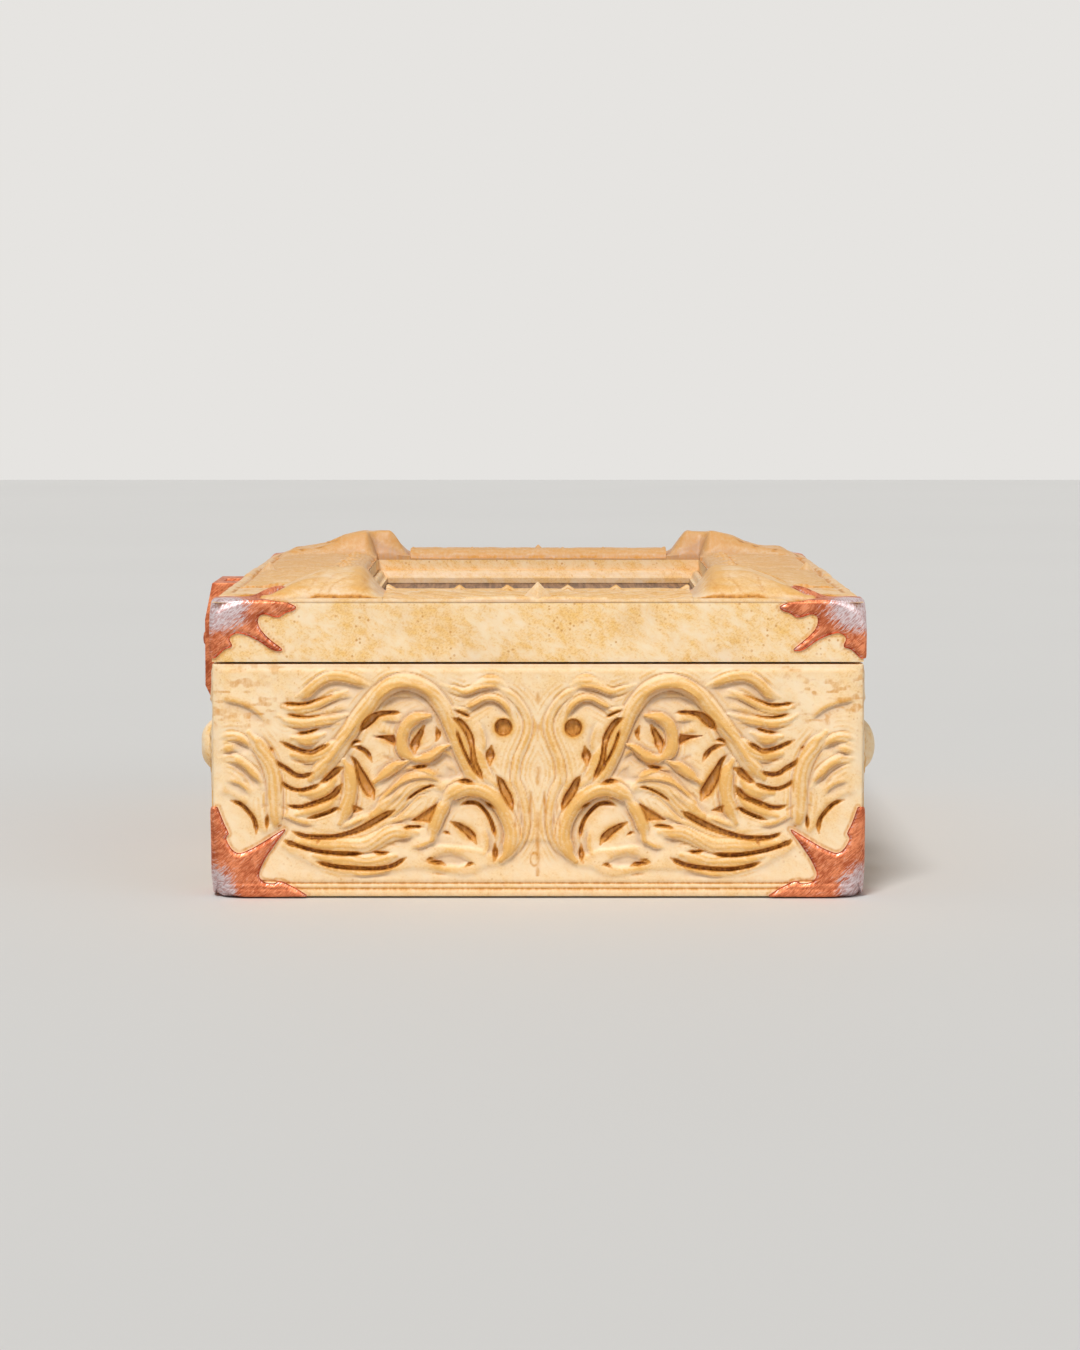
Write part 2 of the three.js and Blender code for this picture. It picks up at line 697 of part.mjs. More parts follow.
hingePlaces.forEach((y, index) => {
  const name = ['right', 'left'][index];
  const group = new THREE.Group();
  group.position.set(halfWidth + hingeStandoff, y, hingeAxisHeight);
  box.add(group);
  add(`hinge_${name}_lid_leaf`, leaf(1, [[fit / 2 - knuckleHalf, knuckleHalf - fit / 2]]), copper, group);
  add(`hinge_${name}_base_leaf`, leaf(-1, [
    [-leafHalf, -knuckleHalf - fit / 2], [knuckleHalf + fit / 2, leafHalf],
  ]), copper, group);
  add(`hinge_${name}_pin`, hingePin(), steel, group);
  for (const [owner, up] of [['lid', 1], ['base', -1]]) {
    [-1, 1].forEach((side) => {
      const label = side < 0 ? 'a' : 'b';
      add(`hinge_${name}_${owner}_screw_${label}`, screw(screwLength), steel, group)
        .position.set(leafFace + fit, side * screwAlong, up * screwAbove);
    });
  }
});

// Hasp, in a group on its pin's axis with local +X out of the box's front.
const haspGroup = new THREE.Group();
haspGroup.position.set(-halfWidth - haspStandoff, 0, haspAxisHeight);
haspGroup.rotation.z = Math.PI;
box.add(haspGroup);
const haspBack = 2 * fit - haspStandoff;
const bracketFace = fit + bracketMetal - haspStandoff;
const keeperFace = fit + keeperMetal - haspStandoff;

function haspBody() {
  const shield = slab([
    [-haspHalfWidth, haspTop], [-haspHalfWidth, -haspShoulder], [-haspTipHalfWidth, -haspTip],
    [haspTipHalfWidth, -haspTip], [haspHalfWidth, -haspShoulder], [haspHalfWidth, haspTop],
  ], 'x', -haspStandoff, haspFace + past);
  const backTop = Math.sqrt((haspStandoff - fit) ** 2 - haspTop ** 2); // clears the lid's side as the hasp swings
  const section = slab([
    [haspBack, 0], [haspBack, -haspTip - past], [haspTipFace, -haspTip - past], [haspTipFace, -haspTip],
    [haspFace, -haspShoulder], [haspFace, -haspUpperBevel], [haspTopFace, haspTop], [-backTop, haspTop],
  ], 'y', -haspHalfWidth - past, haspHalfWidth + past);
  const knuckleSlot = block(
    [-haspStandoff, -bracketKnuckleHalf - fit, -bracketTop - fit],
    [haspKnuckleRadius + fit, bracketKnuckleHalf + fit, haspTop + past],
  );
  const cornerSwing = Math.hypot(bracketFace, bracketTop) - fit; // clears the bracket's top edge as the hasp swings
  const bracketPocket = block(
    [-haspStandoff, -bracketHalfWidth - fit, -bracketFoot - fit],
    [bracketFace + screwHeadHeight + 2 * fit, bracketHalfWidth + fit, -Math.sqrt(cornerSwing ** 2 - haspBack ** 2)],
  );
  // Open at the foot, so that the lid lifts with the hasp still down.
  const keeperChannel = block(
    [-haspStandoff, -keeperHalfWidth - fit, -haspTip - past],
    [keeperFace + fit, keeperHalfWidth + fit, -bracketFoot],
  );
  const magnetPocket = bar(
    magnetRadius + fit, 'x', -haspStandoff, keeperFace + magnetThickness + 3 * fit, 0, -magnetDrop, domeSegments,
  );
  const pinHole = bar(haspPinRadius + fit, 'y', -haspHalfWidth - past, haspHalfWidth + past);
  const studHole = bar(
    haspStudPegRadius + fit, 'x', haspFace - haspStudPegLength - 2 * fit, haspFace + past, 0, -haspStudDrop,
  );
  return cut(common(shield, section), knuckleSlot, bracketPocket, keeperChannel, magnetPocket, pinHole, studHole);
}

function haspBracket() {
  const plate = block(
    [fit - haspStandoff, -bracketHalfWidth, -bracketFoot],
    [bracketFace, bracketHalfWidth, -bracketTop],
  );
  const knuckle = bar(haspKnuckleRadius, 'y', -bracketKnuckleHalf, bracketKnuckleHalf);
  const arm = slab([
    [fit - haspStandoff, -bracketTop - bracketMetal], [bracketFace, -bracketTop - bracketMetal],
    [haspKnuckleRadius * 0.4, -haspKnuckleRadius * 0.8], [0, haspKnuckleRadius * 0.9],
    [fit - haspStandoff, -bracketMetal],
  ], 'y', -bracketKnuckleHalf, bracketKnuckleHalf);
  const bore = bar(haspPinRadius + fit, 'y', -bracketHalfWidth, bracketHalfWidth);
  const holes = [-bracketScrewAlong, bracketScrewAlong].map((along) => (
    bar(screwHoleRadius, 'x', -haspStandoff - past, 0, along, -(bracketTop + bracketFoot) / 2)
  ));
  return cut(join(plate, knuckle, arm), bore, ...holes);
}

add('hasp', haspBody(), copper, haspGroup);
add('hasp_bracket', haspBracket(), copper, haspGroup);
add('hasp_pin', bar(haspPinRadius, 'y', fit - haspHalfWidth, haspHalfWidth - fit), steel, haspGroup);
[-1, 1].forEach((side) => {
  const label = side < 0 ? 'a' : 'b';
  add(`hasp_bracket_screw_${label}`, screw(screwLength), steel, haspGroup)
    .position.set(bracketFace + fit, side * bracketScrewAlong, -(bracketTop + bracketFoot) / 2);
});
add('hasp_magnet', bar(
  magnetRadius, 'x', keeperFace + 2 * fit, keeperFace + 2 * fit + magnetThickness, 0, -magnetDrop, domeSegments,
), steel, haspGroup);
add('hasp_stud', turned([
  [0, -haspStudPegLength], [haspStudPegRadius, -haspStudPegLength], [haspStudPegRadius, fit],
  [haspStudRadius, fit], [haspStudRadius * 0.9, haspStudRise * 0.5],
  [haspStudRadius * 0.55, haspStudRise * 0.88], [0, haspStudRise],
]), copper, haspGroup).position.set(haspFace, 0, -haspStudDrop);
add('hasp_keeper', join(
  block([fit - haspStandoff, -keeperHalfWidth, -keeperFoot], [keeperFace, keeperHalfWidth, -keeperTop]),
  bar(keeperPegRadius, 'x', -haspStandoff - keeperPegLength, keeperFace - fit, 0, -magnetDrop),
), steel, haspGroup);

export default box;
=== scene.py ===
import math

import bmesh
import bpy
import numpy as np
from mathutils import Matrix, Vector


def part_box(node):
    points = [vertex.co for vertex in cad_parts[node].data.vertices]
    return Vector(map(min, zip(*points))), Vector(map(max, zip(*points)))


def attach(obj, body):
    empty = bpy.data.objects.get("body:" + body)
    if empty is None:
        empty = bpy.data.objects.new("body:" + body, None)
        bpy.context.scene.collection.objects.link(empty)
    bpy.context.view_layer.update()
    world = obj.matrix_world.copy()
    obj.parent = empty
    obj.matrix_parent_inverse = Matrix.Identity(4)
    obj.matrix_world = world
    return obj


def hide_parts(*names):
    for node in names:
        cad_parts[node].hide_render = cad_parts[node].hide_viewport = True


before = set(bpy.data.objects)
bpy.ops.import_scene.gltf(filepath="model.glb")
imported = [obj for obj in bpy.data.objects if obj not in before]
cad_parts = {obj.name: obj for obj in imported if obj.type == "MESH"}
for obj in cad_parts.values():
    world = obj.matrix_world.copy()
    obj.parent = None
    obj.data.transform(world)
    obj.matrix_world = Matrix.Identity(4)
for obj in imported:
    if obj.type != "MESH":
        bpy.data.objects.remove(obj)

bl_info = {
    "name": "Carved bone box",
    "version": (1, 0, 0),
    "blender": (4, 5, 0),
    "location": "3D View > Sidebar > Bone box",
    "description": "A carved bone box with copper corner mounts, a hinged lid and a copper hasp",
    "category": "Add Mesh",
}

# Meshes are built in millimetres and brought to metres when they are placed.
# x runs along a side, inward runs from a side's face into the box, and z runs up.
MM = 0.001


def span_mm(node):
    """The lowest and highest corners of a frame node, in millimetres."""
    low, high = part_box(node)
    return np.array(low) / MM, np.array(high) / MM


# Sizes of the frame
HALF_WIDTH = -span_mm("base_front_wall")[0][0]
HALF_LENGTH = -span_mm("base_right_end_wall")[0][1]
BASE_TOP = span_mm("base_front_wall")[1][2]
WALL_THICKNESS = HALF_WIDTH + span_mm("base_front_wall")[1][0]
FLOOR_TOP = span_mm("base_floor")[1][2]
FLOOR_EDGE = span_mm("base_floor")[0][0]
LID_BOTTOM = span_mm("lid_front_rail")[0][2]
LID_TOP = span_mm("lid_front_rail")[1][2]
RAIL_WIDTH = HALF_WIDTH + span_mm("lid_front_rail")[1][0]
PANEL_FOOT = span_mm("lid_panel")[0][2]
PANEL_TOP = span_mm("lid_panel")[1][2]
PANEL_EDGE = HALF_WIDTH + span_mm("lid_panel")[0][0]
BLOCK_REACH = HALF_WIDTH + span_mm("lid_block_front_right")[1][0]
MOUNT_OUT = -HALF_WIDTH - span_mm("base_mount_front_right")[0][0]
HINGE_LEAF = span_mm("hinge_right_base_leaf")
HASP = span_mm("hasp")
BOSS = span_mm("side_boss_back_right")
BOSS_RADIUS = (BOSS[1][1] - BOSS[0][1]) / 2
BOSS_ALONG = -(BOSS[0][1] + BOSS[1][1]) / 2
BOSS_HEIGHT = (BOSS[0][2] + BOSS[1][2]) / 2
STUD = span_mm("lid_right_end_stud")
STUD_INSET = HALF_LENGTH + (STUD[0][1] + STUD[1][1]) / 2

# Thickness of the rails inside their outer skirt
RAIL_THICKNESS = 10.3

# How far pieces keep off each other, and how far in from the rails' faces the lid's carving starts
SEAT = 0.04
CARVING_INSET = 0.14

# The stain and the painted shade all over the lid's carving, at the near end and at the far end. Both grow
# towards the far end, painting the shade where less light reaches.
LID_STAIN_AND_SHADE = ((0.17, 0.12), (0.28, 0.95))

# Painted shade all over the window's bead
BEAD_SHADE = 0.55

# Each border's way towards the far end along it, and how far towards that end its middle is
BORDER_PLACE = {"right_end": (0, 0.0), "left_end": (0, 1.0), "front": (-1, 0.5), "back": (1, 0.5)}

# How much larger or smaller each border's pyramid stud is than the frame's
STUD_GROWTH = {"right_end": 1.25, "left_end": 0.85, "front": 1.0, "back": 1.0}

# How high each border rises, as a share
BORDER_SHARE = {"right_end": 0.68, "left_end": 1.3, "front": 1.0, "back": 1.0}

# How the box's edges and corners are worn round
BASE_EDGE = 0.9
LID_EDGE = 0.25
CORNER_ROUND = 3.2
CORNER_EASE = 8.0
FOOT_STRETCH = 2.6

# The two lines scored along the foot of the walls
FOOT_LINES = (2.0, 3.3)
FOOT_LINE_WIDTH = 0.34

# The underside of the walls rises over the webs of the corner mounts
WEB_ROOM = 1.1
WEB_REACH = 14.5
WEB_BLEND = 6.0

# Name, distance from the middle to the face, half of its length, and turn about z
SIDES = (
    ("right_end", HALF_LENGTH, HALF_WIDTH, 0.0),
    ("left_end", HALF_LENGTH, HALF_WIDTH, math.pi),
    ("front", HALF_WIDTH, HALF_LENGTH, -math.pi / 2),
    ("back", HALF_WIDTH, HALF_LENGTH, math.pi / 2),
)
CORNERS = (
    ("front_right", -1, -1),
    ("back_right", 1, -1),
    ("front_left", -1, 1),
    ("back_left", 1, 1),
)

# Outlines of the corner mounts, in from the box's corner: along the edge, then across the face
LID_MOUNT_FACE = (
    (18.2, 0.1), (19.7, 1.0), (18.8, 1.9), (17.2, 2.4), (15.9, 3.3), (14.6, 3.4), (12.7, 2.7), (11.2, 3.0),
    (10.7, 4.1), (11.4, 6.2), (14.0, 8.8), (16.5, 10.9), (14.2, 11.0), (11.0, 8.9), (7.8, 7.4), (5.6, 7.1),
    (4.1, 8.2), (4.8, 10.1), (3.0, 10.9), (0.8, 12.9),
)
LID_MOUNT_TOP = (
    (16.9, 0.5), (14.6, 2.2), (12.4, 2.9), (10.6, 4.0), (10.4, 6.2), (12.6, 9.8), (16.2, 14.8),
    (14.8, 16.2), (9.8, 12.6), (6.2, 10.4), (4.0, 10.6), (2.9, 12.4), (2.2, 14.6), (0.5, 16.9),
)
# The same top without its slanted spike, which lies on the corner block
LID_MOUNT_BARE = (
    (16.9, 0.5), (14.6, 2.2), (12.4, 2.9), (10.6, 3.8), (8.6, 5.6), (5.6, 8.6), (3.8, 10.6), (2.9, 12.4),
    (2.2, 14.6), (0.5, 16.9),
)
# Where the top of a lid mount's arms begins to slope down to the tips
LID_ARM_SLOPE = 12.4
BASE_MOUNT_FACE = (
    (21.8, 0.6), (18.9, 2.4), (15.6, 3.9), (14.2, 3.3), (12.0, 3.6), (10.9, 4.5), (10.7, 6.0), (12.2, 9.2),
    (14.8, 13.0), (16.9, 16.0), (14.2, 14.6), (11.0, 12.6), (8.4, 11.2), (5.9, 10.4), (4.2, 11.6),
    (3.0, 14.0), (3.7, 14.9), (2.6, 17.4), (1.2, 21.2),
)
# The web under the box that joins a lower mount's two faces
MOUNT_WEB = ((14.0, 3.0), (3.0, 3.0), (3.0, 14.0))

# The carving, drawn on the left half of the photographed end: x from its middle line, then height.
# Rounded strands: half width, rise, and the points they run through
STRANDS = (
    (1.7, 0.75, ((-52.8, 27.6), (-46.8, 34.1), (-41.8, 41.6), (-36.8, 47.6), (-31.3, 50.4), (-25.8, 48.7),
                 (-21.8, 44.1), (-19.3, 38.6), (-17.3, 33.6), (-14.8, 28.5), (-12.3, 26))),
    (0.9, 0.3, ((-56, 46.8), (-53.4, 48.4), (-51, 50.3), (-48.5, 51.6), (-46, 51.8), (-43, 51.2),
                (-39, 49.6))),
    (0.9, 0.3, ((-59, 44.4), (-56, 43.9), (-52, 44.7), (-48.5, 46.4), (-44, 48.2))),
    (1.0, 0.35, ((-60, 42.5), (-58, 41.2), (-55, 40.7), (-52, 41), (-48, 41.8), (-44, 42.8))),
    (2.4, 0.7, ((-38, 19.4), (-34, 22), (-31, 25), (-29, 26.6), (-25.6, 27.3), (-22.4, 25.8))),
    (1.1, 0.6, ((-38, 27), (-34, 30), (-30, 32))),
    (1.3, 0.7, ((-28, 32), (-31, 34), (-31.5, 37), (-30.5, 40), (-28, 42), (-25, 42.5))),
    (1.0, 0.6, ((-29.5, 33), (-28, 32.4), (-26, 32.6), (-24, 33.5), (-22.5, 34.8), (-20.5, 35.6))),
    (1.6, 0.9, ((-22, 22), (-20.5, 24), (-18, 25.3), (-15, 25.7), (-12, 24.7), (-9.5, 22.6), (-7.5, 19.6),
                (-6.3, 16.6), (-6, 14), (-6.8, 11), (-8.5, 8.8))),
    (1.5, 0.7, ((-24.5, 13.5), (-24, 17), (-22.5, 20.5), (-20, 23.6))),
    (1.6, 0.75, ((-67, 38.5), (-64, 34.5), (-62, 30.5), (-61, 26), (-61, 20), (-60.5, 16))),
    (1.5, 0.7, ((-45, 32), (-43.5, 29), (-43.7, 24), (-44.7, 20), (-46, 17.4))),
    (1.2, 0.3, ((-15, 49.6), (-11.6, 50.6), (-9, 50.4), (-7.4, 49.3))),
    (1.7, 0.6, ((-56, 12.9), (-51, 12.4), (-46, 12), (-41, 12.2), (-37, 13.6), (-33, 15.4), (-28, 15.2))),
    (1.5, 0.45, ((-52, 9.9), (-47, 8.8), (-42, 8.6), (-37, 8.7), (-33, 9.8))),
    (1.5, 0.65, ((-55, 24.4), (-51, 24.6), (-48.6, 25.8), (-47.2, 27.6))),
    (1.4, 0.6, ((-57, 33.4), (-54, 32.9), (-51, 33.3), (-48, 35), (-45.6, 37.6))),
    (1.2, 0.55, ((-57, 37.3), (-53, 36.9), (-49.4, 38.2))),
    (1.5, 0.6, ((-56, 19.5), (-52, 20.6), (-48.6, 21.9), (-46.6, 23.6))),
    (1.6, 0.55, ((-15.4, 36), (-13.6, 31.4), (-12.3, 28.6), (-9.8, 26.2))),
    (0.9, 0.26, ((-9.8, 49.3), (-6.8, 47.8), (-4.3, 45.3), (-2.5, 42.1), (-2.3, 39.1), (-3.3, 35.6),
                 (-4.8, 32.1), (-5.3, 28.1), (-4, 25.1), (-3, 21.5), (-2.7, 18), (-3.3, 14.5), (-4.8, 11.5),
                 (-6.8, 9.3))),
    (0.9, 0.25, ((-22.6, 49.8), (-19.6, 48.6), (-17, 48), (-14, 49), (-11, 49.6), (-8.6, 49.4))),
    (0.8, 0.28, ((-20.4, 44.6), (-17, 43.6), (-15, 44.8), (-12, 46.6), (-9.6, 46.4), (-7.4, 44.6),
                 (-6, 41.6))),
    (1.1, 0.26, ((-74.6, 37.4), (-71.5, 37.8), (-68.6, 37), (-66, 34.6))),
    (1.0, 0.2, ((-74.4, 34.4), (-71.6, 35), (-69, 34.6))),
    (1.2, 0.26, ((-74.4, 32.6), (-71, 32.6), (-68, 31), (-65.6, 28.6), (-63.6, 25.8))),
)

# Folds: the strand to the left of each line's way stands over the one to its right. Rise, reach and points
FOLDS = (
    (0.42, 2.2, ((-56, 46.2), (-53, 46.8), (-51.5, 48), (-50, 49.3), (-48, 50.2), (-46, 50.4), (-43, 49.8),
                 (-40.5, 49.1), (-39, 48.8))),
    (0.42, 1.8, ((-37.5, 45), (-36, 46.8), (-34.5, 48), (-33, 48.9), (-31, 49.2), (-28.5, 48.9), (-26.5, 48),
                 (-25, 46.6), (-24.3, 45.3))),
    (0.28, 1.4, ((-36.5, 44.5), (-35, 46), (-33, 46.8), (-30, 46.9), (-27.5, 46.7))),
    (0.4, 1.8, ((-19, 47.6), (-17, 47.4), (-15, 47.9), (-13, 48.8), (-11, 49), (-9.5, 48.9), (-8, 48.2))),
    (0.42, 1.8, ((-18, 44.6), (-16, 44.4), (-14, 45.2), (-12.3, 46), (-10.5, 46), (-9, 45.4), (-7.8, 44.2),
                 (-6.9, 42.8), (-6.2, 41.4))),
    (0.34, 1.2, ((-29.3, 39.5), (-28, 41), (-26, 41.6), (-24.5, 41.4))),
    (0.34, 1.4, ((-26, 31), (-24.5, 32), (-23.5, 33.3), (-22, 33.8), (-20.5, 33), (-19, 31.5))),
    (0.26, 1.4, ((-38, 38.6), (-36, 38.5), (-34, 38.4))),
    (0.3, 1.6, ((-37, 41), (-34.5, 41.2), (-32.5, 41), (-31, 41.5))),
    (0.36, 1.8, ((-37, 22.5), (-35, 24), (-33, 25.6), (-31, 27), (-29, 27.7), (-26.5, 28), (-24.5, 27.7),
                 (-22, 26.5))),
    (0.26, 1.4, ((-34.5, 30), (-32, 31), (-30.5, 31))),
    (0.36, 1.6, ((-18.5, 21), (-17.5, 22.3), (-16, 23.2), (-14, 23.5), (-12, 23), (-10.3, 21.7), (-9, 20))),
    (0.3, 1.6, ((-57.5, 40), (-55, 39.7), (-52, 39.8))),
    (0.3, 1.6, ((-57, 36.2), (-54, 35.6), (-51, 35.5))),
    (0.34, 1.6, ((-30, 11.5), (-27, 11.8), (-24.5, 13), (-23, 14.5))),
    (0.3, 1.4, ((-34, 13.2), (-32, 13.8), (-30, 14), (-28, 13.8))),
    (0.42, 2.0, ((-71.5, 36.7), (-70, 36.8), (-68.5, 36.2), (-67.2, 35.2), (-66.2, 34))),
    (0.34, 1.6, ((-74, 33), (-72.5, 33.8), (-70.5, 34.4), (-69, 34))),
    (0.42, 2.0, ((-72, 31.8), (-70, 31.5), (-68, 30.2), (-66.5, 28.6), (-65, 27.3), (-63.8, 26))),
    (0.3, 1.6, ((-66.5, 37.8), (-65.5, 36.5), (-64.5, 35.2))),
    (0.32, 1.6, ((-60.5, 18.8), (-58.5, 18.7), (-57, 18), (-55, 17.3), (-53, 17), (-51, 16.9))),
    (0.3, 2.4, ((-74, 46), (-70, 45.4), (-66, 43.6), (-63, 40.6))),
    (0.3, 2.0, ((-73, 27.2), (-70, 26.6), (-68, 25.2), (-66.4, 23))),
    (0.26, 1.3, ((-52, 43.6), (-50, 44.6), (-47.5, 45.8), (-45, 46.6), (-42, 46.8))),
    (0.24, 1.2, ((-51, 42.2), (-48.5, 42.9), (-45.6, 43.7), (-43, 44.2))),
    (0.26, 1.2, ((-54, 40.2), (-51, 40), (-48.5, 40.3), (-46, 40.9))),
    (0.26, 1.2, ((-56, 30.6), (-54, 31.4), (-51.5, 31.2))),
    (0.22, 1.0, ((-50, 30), (-48, 32), (-46, 34.6), (-43.6, 38), (-41, 41.6))),
    (0.24, 1.2, ((-33, 28.8), (-30, 30), (-27, 29.6), (-24, 28.6), (-21, 28.2))),
    (0.26, 1.2, ((-22, 31), (-20, 30), (-18.6, 28.6))),
    (0.24, 1.2, ((-13, 33), (-12, 36), (-12.6, 39), (-14, 41.5))),
    (0.24, 1.2, ((-36, 16.2), (-33, 17.6), (-30, 18.6), (-27.4, 19))),
    (0.24, 1.2, ((-36, 21), (-33, 23.2), (-30.4, 25.2))),
    (0.24, 1.4, ((-44, 5.4), (-40, 5.2), (-36, 5.8), (-32.6, 6.9))),
    (0.26, 1.2, ((-13, 9), (-11.4, 11.6), (-11.6, 14.4), (-12.6, 17))),
    (0.24, 1.2, ((-3.8, 12), (-3.6, 16), (-4.4, 20))),
    (0.22, 1.2, ((-47, 15.8), (-44, 16.6), (-41.4, 17.8), (-39, 19.2))),
)

# Cut slots: half width or half widths, and points. Wider ones are deeper, and dark along their edges.
CUTS = (
    ((0.3, 0.28, 0.25, 0.2, 0.16, 0.1),
     ((-59.5, 45.4), (-57, 45.2), (-54, 45.2), (-51.5, 46), (-49, 46.9), (-46, 47.8))),
    ((0.3, 0.25, 0.18, 0.14, 0.1, 0.08),
     ((-58.6, 43), (-56, 42.4), (-53, 42.2), (-50.5, 42.6), (-48, 43.3), (-45, 44))),
    (0.26, ((-56.5, 38.3), (-54, 38.5), (-52, 39), (-50.2, 39.7))),
    (0.42, ((-59.8, 36.5), (-58, 35.6), (-56, 34.7), (-54, 34.1), (-52.3, 34), (-50.5, 34.9), (-48.3, 35.9))),
    (0.46, ((-60.6, 32.3), (-60, 31.2), (-58, 29.9), (-56.3, 28.7), (-54.5, 28.4), (-53, 28.8), (-52, 29.4))),
    (0.3, ((-62.6, 35.5), (-61.8, 34.8), (-61, 33.7))),
    (0.36, ((-59.3, 27.7), (-59, 26.6), (-57.5, 25.6), (-55.5, 25.1), (-53.5, 25.4), (-51.5, 26.1),
            (-50.3, 26.8))),
    ((0.4, 0.5, 0.7, 0.75, 0.5), ((-50.8, 26.7), (-49, 27.7), (-47.5, 29), (-46.3, 30), (-45.2, 30.4))),
    ((0.35, 0.35, 0.4, 0.45, 0.5, 0.55, 0.65, 0.65, 0.5),
     ((-58.5, 21.8), (-57, 21.3), (-55, 21.2), (-53, 21.7), (-51, 22.4), (-49, 23.2), (-47.3, 24.2),
      (-46.2, 25.6), (-45.4, 26.5))),
    (0.4, ((-53.5, 18.6), (-51, 19.2), (-48.5, 20), (-46.6, 20.9), (-45.7, 20.6))),
    ((0.4, 0.42, 0.45, 0.45, 0.45, 0.5, 0.6, 0.7, 0.7, 0.65, 0.5),
     ((-57, 15.5), (-55, 14.6), (-53, 14.2), (-50, 14.1), (-47, 14.3), (-44, 15), (-41.5, 15.9),
      (-39, 17.2), (-37, 18.4), (-35, 19.6), (-33.2, 20.5))),
    (0.26, ((-31, 22.3), (-29, 24), (-27, 25.3), (-25, 26.1), (-23, 26.1))),
    (0.4, ((-51.8, 14), (-51, 14.3), (-51, 13.3), (-51.4, 12.4))),
    ((0.6, 0.6, 0.45, 0.45, 0.45, 0.45, 0.45, 0.4),
     ((-59, 13.7), (-58.3, 13), (-56, 12.2), (-54, 11.6), (-51, 10.9), (-48, 10.5), (-44, 10.3),
      (-40.4, 10.4))),
    (0.28, ((-39, 11), (-37.5, 10.6), (-36, 10.4), (-34, 10.7))),
    (0.46, ((-51.5, 8.4), (-49, 7.7), (-46, 7.2), (-42, 6.9), (-38, 6.8), (-35, 7.1), (-33, 7.8),
            (-31.5, 8.8), (-30.6, 9.4))),
    (0.3, ((-62.7, 20), (-62.9, 18), (-62.9, 15.5))),
    (0.42, ((-71.3, 22.7), (-69, 21.8), (-67, 19.8), (-65.8, 18), (-65.4, 16), (-65.5, 14.9))),
    ((0.25, 0.35, 0.65, 1.05, 1.15, 1.05, 0.7),
     ((-44, 33.4), (-42.5, 32), (-41.6, 30), (-40.8, 28), (-39.8, 26), (-38.6, 24), (-38.1, 23))),
    (0.3, ((-43.6, 35), (-42.8, 36.2), (-42, 36.5), (-40.5, 36.3))),
    (0.45, ((-43, 35.2), (-41.5, 35), (-40.2, 34.3), (-39.2, 33.2), (-38.5, 31.7))),
    ((0.3, 0.5, 0.9, 0.95, 0.6, 0.4, 0.35, 0.3),
     ((-41.4, 38.4), (-40.8, 39.4), (-39.8, 40.6), (-38.5, 41.8), (-37, 42.7), (-35, 43.1), (-33, 43.2),
      (-31.5, 43))),
    ((0.7, 0.6, 0.8, 1.1, 0.8),
     ((-26.5, 40), (-27.3, 38.2), (-28.2, 36.6), (-28.6, 35), (-28.6, 33.8))),
    (0.5, ((-23.6, 39.8), (-23.1, 38.5), (-23.2, 37.2), (-23.6, 36.6))),
    (0.3, ((-29.7, 30.5), (-28, 30.5), (-26, 30.8), (-25, 31.4))),
    (0.24, ((-20, 44), (-18, 43.3), (-16, 42.3), (-15, 41.8))),
    ((0.35, 0.6, 0.7, 0.7, 0.5, 0.6, 0.6, 0.6, 0.4),
     ((-20, 42.2), (-18, 41), (-16.5, 39), (-15.6, 37), (-15.2, 35), (-15, 33), (-14.6, 31.3),
      (-13.7, 29.3), (-12.7, 27.5))),
    (0.28, ((-19, 39.8), (-18.3, 37.5), (-17.4, 35), (-16.4, 32.8), (-15.2, 30.6), (-14, 28.5))),
    (0.45, ((-18.8, 27.2), (-17, 27.3), (-15.5, 27), (-14.6, 26.6))),
    ((0.6, 0.9, 0.9, 0.6), ((-10.7, 35.4), (-11, 34), (-11.1, 32.5), (-11.2, 31))),
    ((0.4, 0.7, 0.9, 0.9, 0.7, 0.4),
     ((-9.7, 28.7), (-8.6, 27), (-7.8, 25), (-7, 23.5), (-6.3, 21.8), (-5.8, 20.2))),
    (0.34, ((-18, 21.7), (-16, 22.2), (-14, 21.9), (-12.5, 20.5), (-11.2, 18.5), (-10.3, 16), (-9.8, 13.8))),
    (0.3, ((-12.6, 22.6), (-11, 21.6), (-9.6, 20.6))),
    (0.5, ((-10, 12.5), (-9.9, 10.8), (-10, 9), (-10.3, 8.4))),
    ((0.5, 0.6, 0.8, 0.8, 0.5), ((-20.3, 17.7), (-18.3, 16.7), (-16.4, 15.4), (-15, 13.8), (-14.3, 12.6))),
    (0.26, ((-22.6, 14.8), (-21.7, 15.3), (-20.6, 14.9), (-19.8, 14.4))),
    (0.26, ((-32, 16.2), (-30, 16.5), (-28, 16.6), (-26, 16.4))),
    (0.4, ((-26.2, 8.5), (-25, 9.1), (-23.8, 9.2))),
    (0.38, ((-26, 8.4), (-24, 8.2), (-22.5, 8), (-21.2, 7.5))),
    (0.38, ((-17, 7.2), (-15.5, 8), (-14.6, 7.8))),
)

